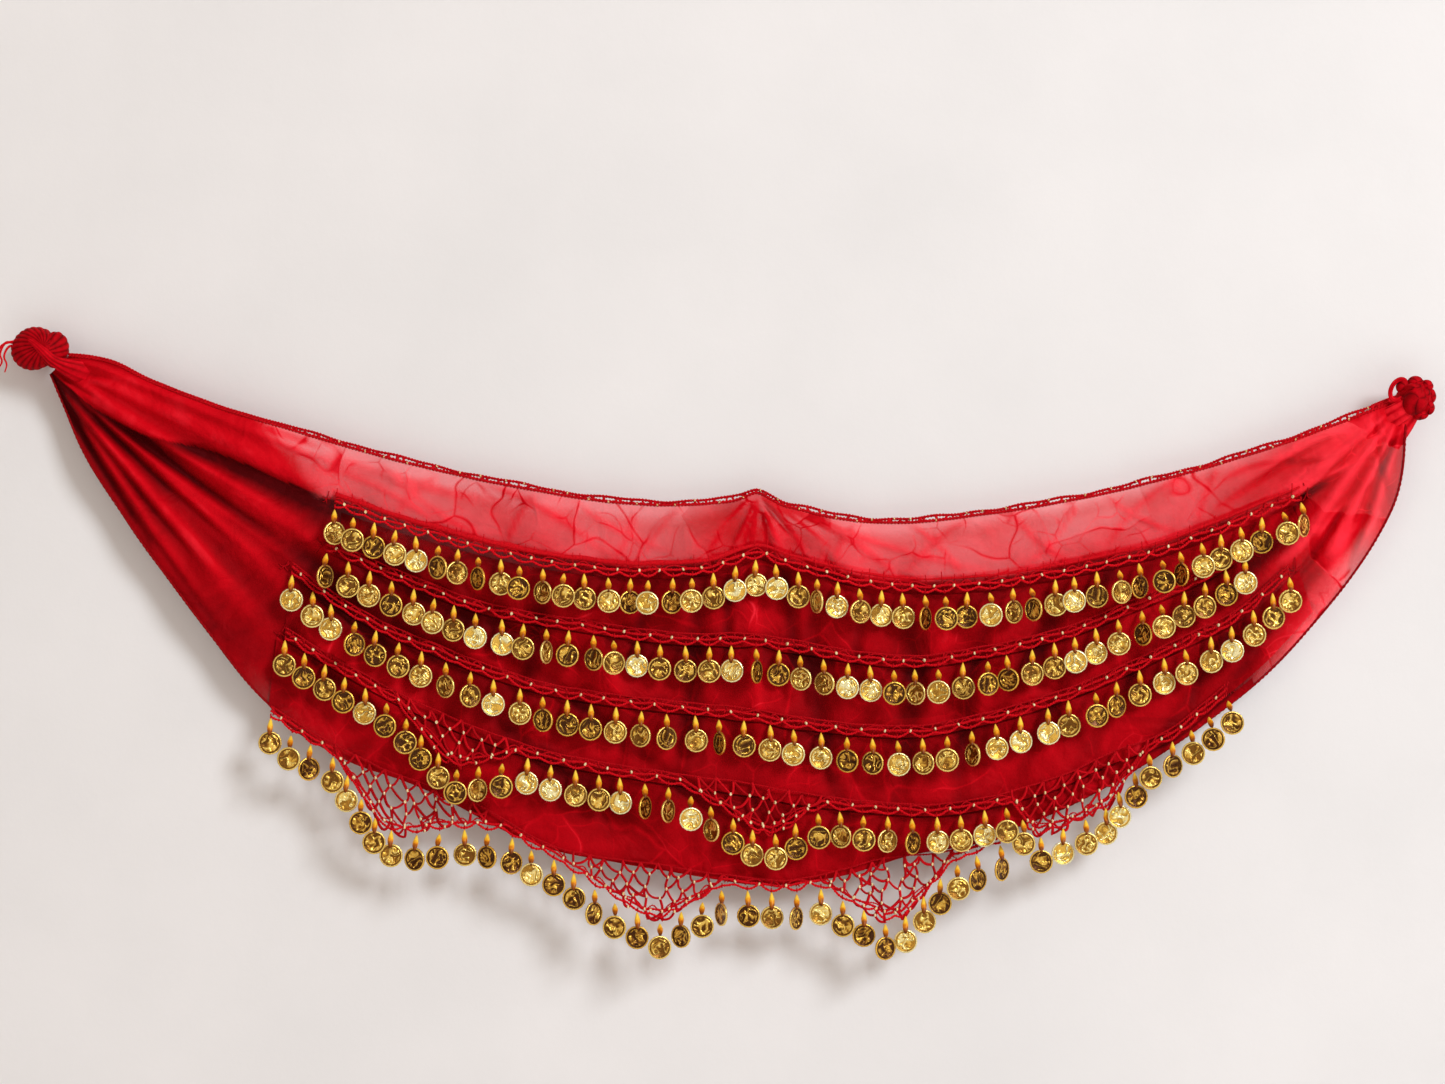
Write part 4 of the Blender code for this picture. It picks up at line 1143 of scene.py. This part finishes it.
def make_row(row, coin, teardrop, seed_bead):
    node = "coin_row_" + row
    shape = RowShape(row)
    chance = random.Random("finish " + row)
    coins, drops, cords, cream = Heap(), Heap(), Heap(), Heap()
    make_drops(shape, coin, teardrop, coins, drops, cords, chance)
    lay_strands(shape, cords, chance)
    add_posts(shape, cords, chance)
    add_seed_beads(shape, cream, seed_bead, chance)
    if row != "hem":
        add_end_stitches(shape, cords, chance)
    coins.piece("coins_row_" + row, COIN_BRASS, "coin_metal", (node,))
    drops.piece("teardrop_beads_row_" + row, AMBER_BEAD, "bead_glass", (node,))
    cords.piece("crochet_row_" + row, CROCHET, "crochet_cord", (node,))
    cream.piece("seed_beads_row_" + row, CREAM_BEAD, "bead_glass", (node,))


# width of a net's cells, and the height of its courses
NET_CELL = 12.5
NET_COURSE = 8.6


def make_net(letter, net, seed_bead):
    """A net point: courses of looped threads that narrow downwards, a bead on each knot."""
    row, start, low_from, low_to, end, depth = net
    node = "net_thread_" + letter
    shape = RowShape(row)
    chance = random.Random("net " + letter)
    threads, beads = Heap(), Heap()
    courses = round((LADDER + depth) / NET_COURSE)
    above = []
    for course in range(courses + 1):
        share = course / courses
        left = start + (low_from - start) * share
        right = end - (end - low_to) * share
        count = max(1, round((right - left) / NET_CELL)) + course % 2
        knots = []
        for n in range(count + 1):
            x = left + (right - left) * n / count + (chance.uniform(-2.6, 2.6) if 0 < n < count else 0.0)
            full = LADDER + net_dip(row, x)
            down = min((LADDER + depth) * share / full, 1.0) if full > 1 else 1.0
            knots.append(shape.point(x, down) + np.array([0.0, -0.4, chance.uniform(-1.5, 1.5)]))
        for knot in knots if course else []:
            nearest = sorted(above, key=lambda other: abs(other[0] - knot[0]))[:2]
            for other in nearest:
                thread = sagging(other, knot, chance.uniform(1.4, 3.2))
                bow = chance.uniform(-1.6, 1.6)
                thread[:, 0] += bow * np.sin(np.linspace(0.0, math.pi, len(thread)))
                threads.put(*tube(thread, chance.uniform(0.9, 1.2), 5), chance.uniform(0.28, 0.6))
            if course < courses:
                place = knot + np.array([0.0, -1.2, 0.0])
                beads.put(placed(seed_bead[0], *place, chance.uniform(-0.6, 0.6), 0.0, 1.1), seed_bead[1],
                          chance.random())
        above = knots
    threads.piece("net_%s_threads" % letter, CROCHET, "crochet_cord", (node,))
    beads.piece("net_%s_beads" % letter, CREAM_BEAD, "bead_glass", (node,))


# The waist edging and the rolled side edges

def make_edging(columns):
    """Two twisted cords held apart by slanting stitches, with gold beads worked in."""
    heap, gold = Heap(), Heap()
    edge = points_of(columns[:, 0], cloth_depth(columns[:, 0], columns[:, 1]), columns[:, 1])
    path, lengths = even_path(edge, 2.0)
    along = np.gradient(path, axis=0)
    along /= np.linalg.norm(along, axis=1, keepdims=True)
    up = points_of(-along[:, 2], 0.0, along[:, 0])
    parted = 0.6 + 0.25 * np.sin(lengths / 13.0) + 0.15 * np.sin(lengths / 5.1 + 1)
    parted = parted * step_up(path[:, 0], 150, 230)
    wander = 0.35 * np.sin(lengths / 11.0) + 0.25 * np.sin(lengths / 5.3)
    low_line = path + up * (0.5 + 0.3 * wander)[:, None]
    high_line = path + up * (1.7 + 2.5 * parted + wander * 0.4)[:, None]
    twisted(heap, low_line, *EDGING_LOW, 0.38)
    twisted(heap, high_line, *EDGING_HIGH, 0.44)
    chance = random.Random("waist stitches")
    final = lengths[-1] - 8.0

    def place_on(line, at):
        return np.array([np.interp(at, lengths, line[:, k]) for k in range(3)])

    at = 6.0
    while at < final:
        lean = chance.uniform(-2.6, 2.6)
        stitch = even_path([place_on(low_line, at), place_on(high_line, at + lean)], 1.2)[0]
        heap.put(*tube(stitch, chance.uniform(0.8, 1.5), 5), chance.uniform(0.2, 0.5))
        at += chance.uniform(4.0, 9.4)
    at = GOLD_BEADS_FROM
    bead = model_seed_bead()
    while at < final:
        x, y, z = place_on(high_line if chance.random() < 0.5 else low_line, at)
        gold.put(placed(bead[0], x, y - 1.0, z, chance.uniform(-0.7, 0.7), chance.uniform(-0.7, 0.7), 0.9),
                 bead[1], chance.random())
        at += chance.uniform(11.0, 24.0)
    heap.piece("waist_edging_cords", CROCHET, "crochet_cord", ("waist_edging",))
    gold.piece("waist_edging_beads", GOLD_BEAD, "coin_metal", ("waist_edging",))


def make_side_edges(columns):
    """The narrow rolled and overcast edge round the crescent's outer side."""
    heap = Heap()
    x, z = columns[:, 2], columns[:, 3]
    path, lengths = even_path(points_of(x, cloth_depth(x, z) - 0.2, z), 2.0)
    stitch_length = 4.2
    heap.put(*tube(path, 0.95 + 0.25 * np.sin(lengths * math.tau / stitch_length)), 0.75)
    heap.piece("rolled_outer_edge", CROCHET, "chiffon", ())


# The knots

def add_ball(heap, centre, size, pleats, twist, pleat_depth, shift=(0.0, 0.0)):
    """A ball of pleats that meet at its front; shift moves the place where they meet."""
    x, y, z = centre
    lift, turn = np.meshgrid(np.linspace(math.pi - 0.04, 0.04, BALL_RINGS),
                             np.arange(BALL_AROUND) * math.tau / BALL_AROUND, indexing="ij")
    pleat = np.abs(np.sin(pleats / 2 * turn + twist * lift + 0.35 * np.sin(3 * turn))) ** 0.6
    groove = pleat_depth * (1 - pleat)
    reach = 1 - groove + 0.05 * np.cos(2 * turn - 1.3 * lift)
    points = np.stack([x + size[0] / 2 * reach * np.sin(lift) * np.cos(turn),
                       y + size[1] / 2 * np.cos(lift) * (1 - 0.3 * groove),
                       z + size[2] / 2 * reach * np.sin(lift) * np.sin(turn)], axis=-1)
    front = np.clip(-np.cos(lift), 0, 1) ** 2
    points[..., 0] += shift[0] * front
    points[..., 2] += shift[1] * front
    # the tone is darker in the grooves between the pleats: painted shade
    heap.put(points.reshape(-1, 3), ring_faces(BALL_RINGS, BALL_AROUND), (0.48 + 0.5 * (1 - pleat)).ravel())


def pleated_band(heap, path, widths, ridges, flat, tone, closed=False, around=28):
    """A wrap of cloth: a tube whose surface is pleated along its length."""
    widths = np.broadcast_to(np.asarray(widths, float), (len(path),))
    aside, out = frames_along(path)
    turn = math.tau * np.arange(around) / around
    drift = np.linspace(0.0, 1.6, len(path))[:, None]
    pleat = np.abs(np.sin(ridges / 2 * turn[None] + drift)) ** 0.7
    reach = widths[:, None] * (0.84 + 0.16 * pleat)
    points = (path[:, None] + aside[:, None] * (reach * np.cos(turn))[..., None]
              + out[:, None] * (reach * flat * np.sin(turn))[..., None]).reshape(-1, 3)
    # darker in the grooves between the pleats: painted shade
    deep = np.clip(tone + 0.55 * (1 - pleat.ravel()) - 0.1, 0, 1)
    heap.put(points, ring_faces(len(path), around, closed), deep)


def add_neck(heap, line, widths, ridges, flat, tone):
    """A pleated band along a curve; widths are pairs of a share of its length and a half width."""
    path = curve_through(line)
    shares, halves = zip(*widths)
    pleated_band(heap, path, np.interp(np.linspace(0, 1, len(path)), shares, halves), ridges, flat, tone)


# balls: centre, size, pleats, twist and depth of the pleats, and how far they meet off the middle
LEFT_BALLS = (
    ((-4, -23, 1), (36, 30, 32), 21, 2.2, 0.05, (9, 1)),
    ((12, -24, 0), (20, 28, 27), 13, 2.0, 0.06, (-6, -2)),
)
RIGHT_BALLS = (
    ((1030.5, -23, -36.5), (29, 26, 29), 9, 2.4, 0.10),
    ((1029, -31, -39), (20, 17, 21), 3, 1.0, 0.07, (1, 2)),
)

# plump petals round the right ball: centre, size, pleats
ROSE_PETALS = (
    ((1021.5, -26, -27.5), (12, 11, 10), 3),
    ((1030.0, -28, -24.5), (13, 12, 9.5), 3),
    ((1038.5, -27, -27.5), (11, 12, 10), 3),
    ((1042.0, -25, -35.0), (9, 12, 12), 3),
    ((1040.0, -27, -43.5), (10, 12, 12), 3),
    ((1034.0, -28, -49.0), (12, 12, 8), 3),
    ((1036.5, -31, -34.5), (9, 10, 12), 2),
    ((1028.0, -32, -29.0), (13, 10, 8), 2),
)

# necks: their line, widths along it, ridges, flatness and tone
LEFT_NECK = (
    ((-8, -33, 8), (-1, -37, 4), (6, -38, -2), (12, -36, -8), (19, -32.5, -12), (27, -29, -15),
     (36, -23, -18), (44, -14, -20)),
    ((0, 1.5), (0.2, 3.0), (0.45, 4.6), (0.7, 8.6), (1, 10.5)), 9, 0.5, 0.4,
)
RIGHT_NECKS = (
    (((1031, -27, -36), (1026, -29, -41), (1020, -28, -46), (1013, -22, -51), (1006, -13, -56),
      (1001, -6, -60)), ((0, 7.0), (1, 10.8)), 7, 0.45, 0.06),
    (((1022, -24, -38), (1016, -22, -39.5), (1010, -16, -41.5), (1003, -9, -44)),
     ((0, 5.4), (1, 4.4)), 5, 0.6, 0.1),
    (((1031, -25, -45), (1028, -25, -51), (1025, -22, -57), (1021, -17, -64), (1017, -11, -71)),
     ((0, 4.8), (1, 5.6)), 5, 0.5, 0.12),
)

# loose thread tails of the left knot
LEFT_TAILS = (
    ((-19, -25, 5), (-25, -26, 5), (-29, -26, -3), (-27.5, -26, -9), (-31, -26, -16), (-30, -26, -22)),
    ((-18, -24, 3), (-23, -25, 2), (-26, -26, -5), (-24, -26, -11), (-25.5, -26, -17)),
    ((-19, -26, 6), (-26, -27, 4), (-31, -27, -2), (-30, -27, -10), (-32, -27, -14)),
)


def make_left_knot():
    """A ball of fine pleats with a second lobe, its twisted neck and loose thread tails."""
    heap, tails = Heap(), Heap()
    for ball in LEFT_BALLS:
        add_ball(heap, *ball)
    add_neck(heap, *LEFT_NECK)
    heap.piece("left_knot_wraps", KNOT_CLOTH, "chiffon", ("left_knot",))
    for line in LEFT_TAILS:
        path = curve_through(line, 6)
        tails.put(*tube(path, np.linspace(1.1, 0.5, len(path)), 5), 0.2)
    tails.piece("left_knot_tails", CROCHET, "crochet_cord", ("left_knot",))


def make_right_knot():
    """A knot like a small rose, with a loop at its side and the folds of its neck."""
    heap = Heap()
    for ball in RIGHT_BALLS:
        add_ball(heap, *ball)
    for centre, size, pleats in ROSE_PETALS:
        add_ball(heap, centre, size, pleats, 1.1, 0.12)
    turn = np.linspace(0, math.tau, 41)[:-1]
    loop = points_of(1017.5 + 5.2 * np.cos(turn) + 3.4 * np.sin(turn), -28.0,
                     -30.0 + 7.6 * np.sin(turn) - 1.6 * np.cos(turn))
    pleated_band(heap, loop, 1.8, 5, 0.8, 0.3, closed=True, around=12)
    for neck in RIGHT_NECKS:
        add_neck(heap, *neck)
    heap.piece("right_knot_rose", KNOT_CLOTH, "chiffon", ("right_knot",))


# The wall, the light and the camera

def stage_plane(name, corners, finish):
    mesh = bpy.data.meshes.new(name)
    mesh.from_pydata(corners, [], [(0, 1, 2, 3)])
    mesh.materials.append(finish)
    thing = bpy.data.objects.new(name, mesh)
    bpy.context.scene.collection.objects.link(thing)


def area_light(name, place, aim, energy, size, colour):
    data = bpy.data.lights.new(name, "AREA")
    data.energy, data.size, data.color = energy, size, colour
    lamp = bpy.data.objects.new(name, data)
    lamp.location = place
    lamp.rotation_euler = (Vector(aim) - Vector(place)).to_track_quat("-Z", "Y").to_euler()
    bpy.context.scene.collection.objects.link(lamp)


# the room, in metres
ROOM_LEFT, ROOM_RIGHT, ROOM_NEAR, ROOM_FAR = -2.5, 3.5, -3.5, 2.0
FLOOR_Z, CEILING_Z = -1.0, 1.8


def make_stage():
    stage_plane("wall", [(ROOM_LEFT, 0, FLOOR_Z), (ROOM_RIGHT, 0, FLOOR_Z),
                         (ROOM_RIGHT, 0, CEILING_Z), (ROOM_LEFT, 0, CEILING_Z)], plaster())
    stage_plane("floor", [(ROOM_LEFT, ROOM_NEAR, FLOOR_Z), (ROOM_RIGHT, ROOM_NEAR, FLOOR_Z),
                          (ROOM_RIGHT, ROOM_FAR, FLOOR_Z), (ROOM_LEFT, ROOM_FAR, FLOOR_Z)], pale_floor())
    middle = (0.51, 0.0, -0.15)
    area_light("window light", (3.4, -3.6, 2.2), middle, energy=201.0, size=1.6, colour=(0.872, 0.943, 1.0))
    area_light("fill light", (-0.9, -2.6, 0.2), middle, energy=8.0, size=1.8, colour=(1.0, 0.92, 0.84))
    world = bpy.data.worlds.new("room")
    world.use_nodes = True
    sky = world.node_tree.nodes["Background"].inputs
    sky["Color"].default_value = (1.0, 0.865, 0.73, 1.0)
    sky["Strength"].default_value = 0.42
    bpy.context.scene.world = world
    bpy.context.scene.view_settings.view_transform = "Standard"


# photo frame: pixels wide and tall, and the pixel of the origin; 0.75 mm a pixel on the cloth
PHOTO_WIDE, PHOTO_TALL = 1445, 1084
ORIGIN_PIXEL = (40, 350)
PIXEL_MM = 0.75
LENS_MM = 73.0
SENSOR_MM = 36.0


def make_camera():
    data = bpy.data.cameras.new("camera")
    data.lens, data.sensor_width = LENS_MM, SENSOR_MM
    away = PHOTO_WIDE * PIXEL_MM * LENS_MM / SENSOR_MM
    camera = bpy.data.objects.new("camera", data)
    camera.location = Vector(((PHOTO_WIDE / 2 - ORIGIN_PIXEL[0]) * PIXEL_MM, CLOTH_DEPTH - away,
                              (ORIGIN_PIXEL[1] - PHOTO_TALL / 2) * PIXEL_MM)) * MM
    camera.rotation_euler = (math.pi / 2, 0, 0)
    bpy.context.scene.collection.objects.link(camera)
    bpy.context.scene.camera = camera


make_camera()
columns = make_cloth()
coin, teardrop, seed_bead = model_coin(), model_teardrop(), model_seed_bead()
for row in ROWS:
    make_row(row, coin, teardrop, seed_bead)
for letter, net in zip("abcdef", NET_POINTS):
    make_net(letter, net, seed_bead)
make_edging(columns)
make_side_edges(columns)
make_left_knot()
make_right_knot()
steel = brushed_steel()
for name in ("left_wall_pin", "right_wall_pin"):
    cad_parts[name].data.materials.clear()
    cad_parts[name].data.materials.append(steel)
make_stage()
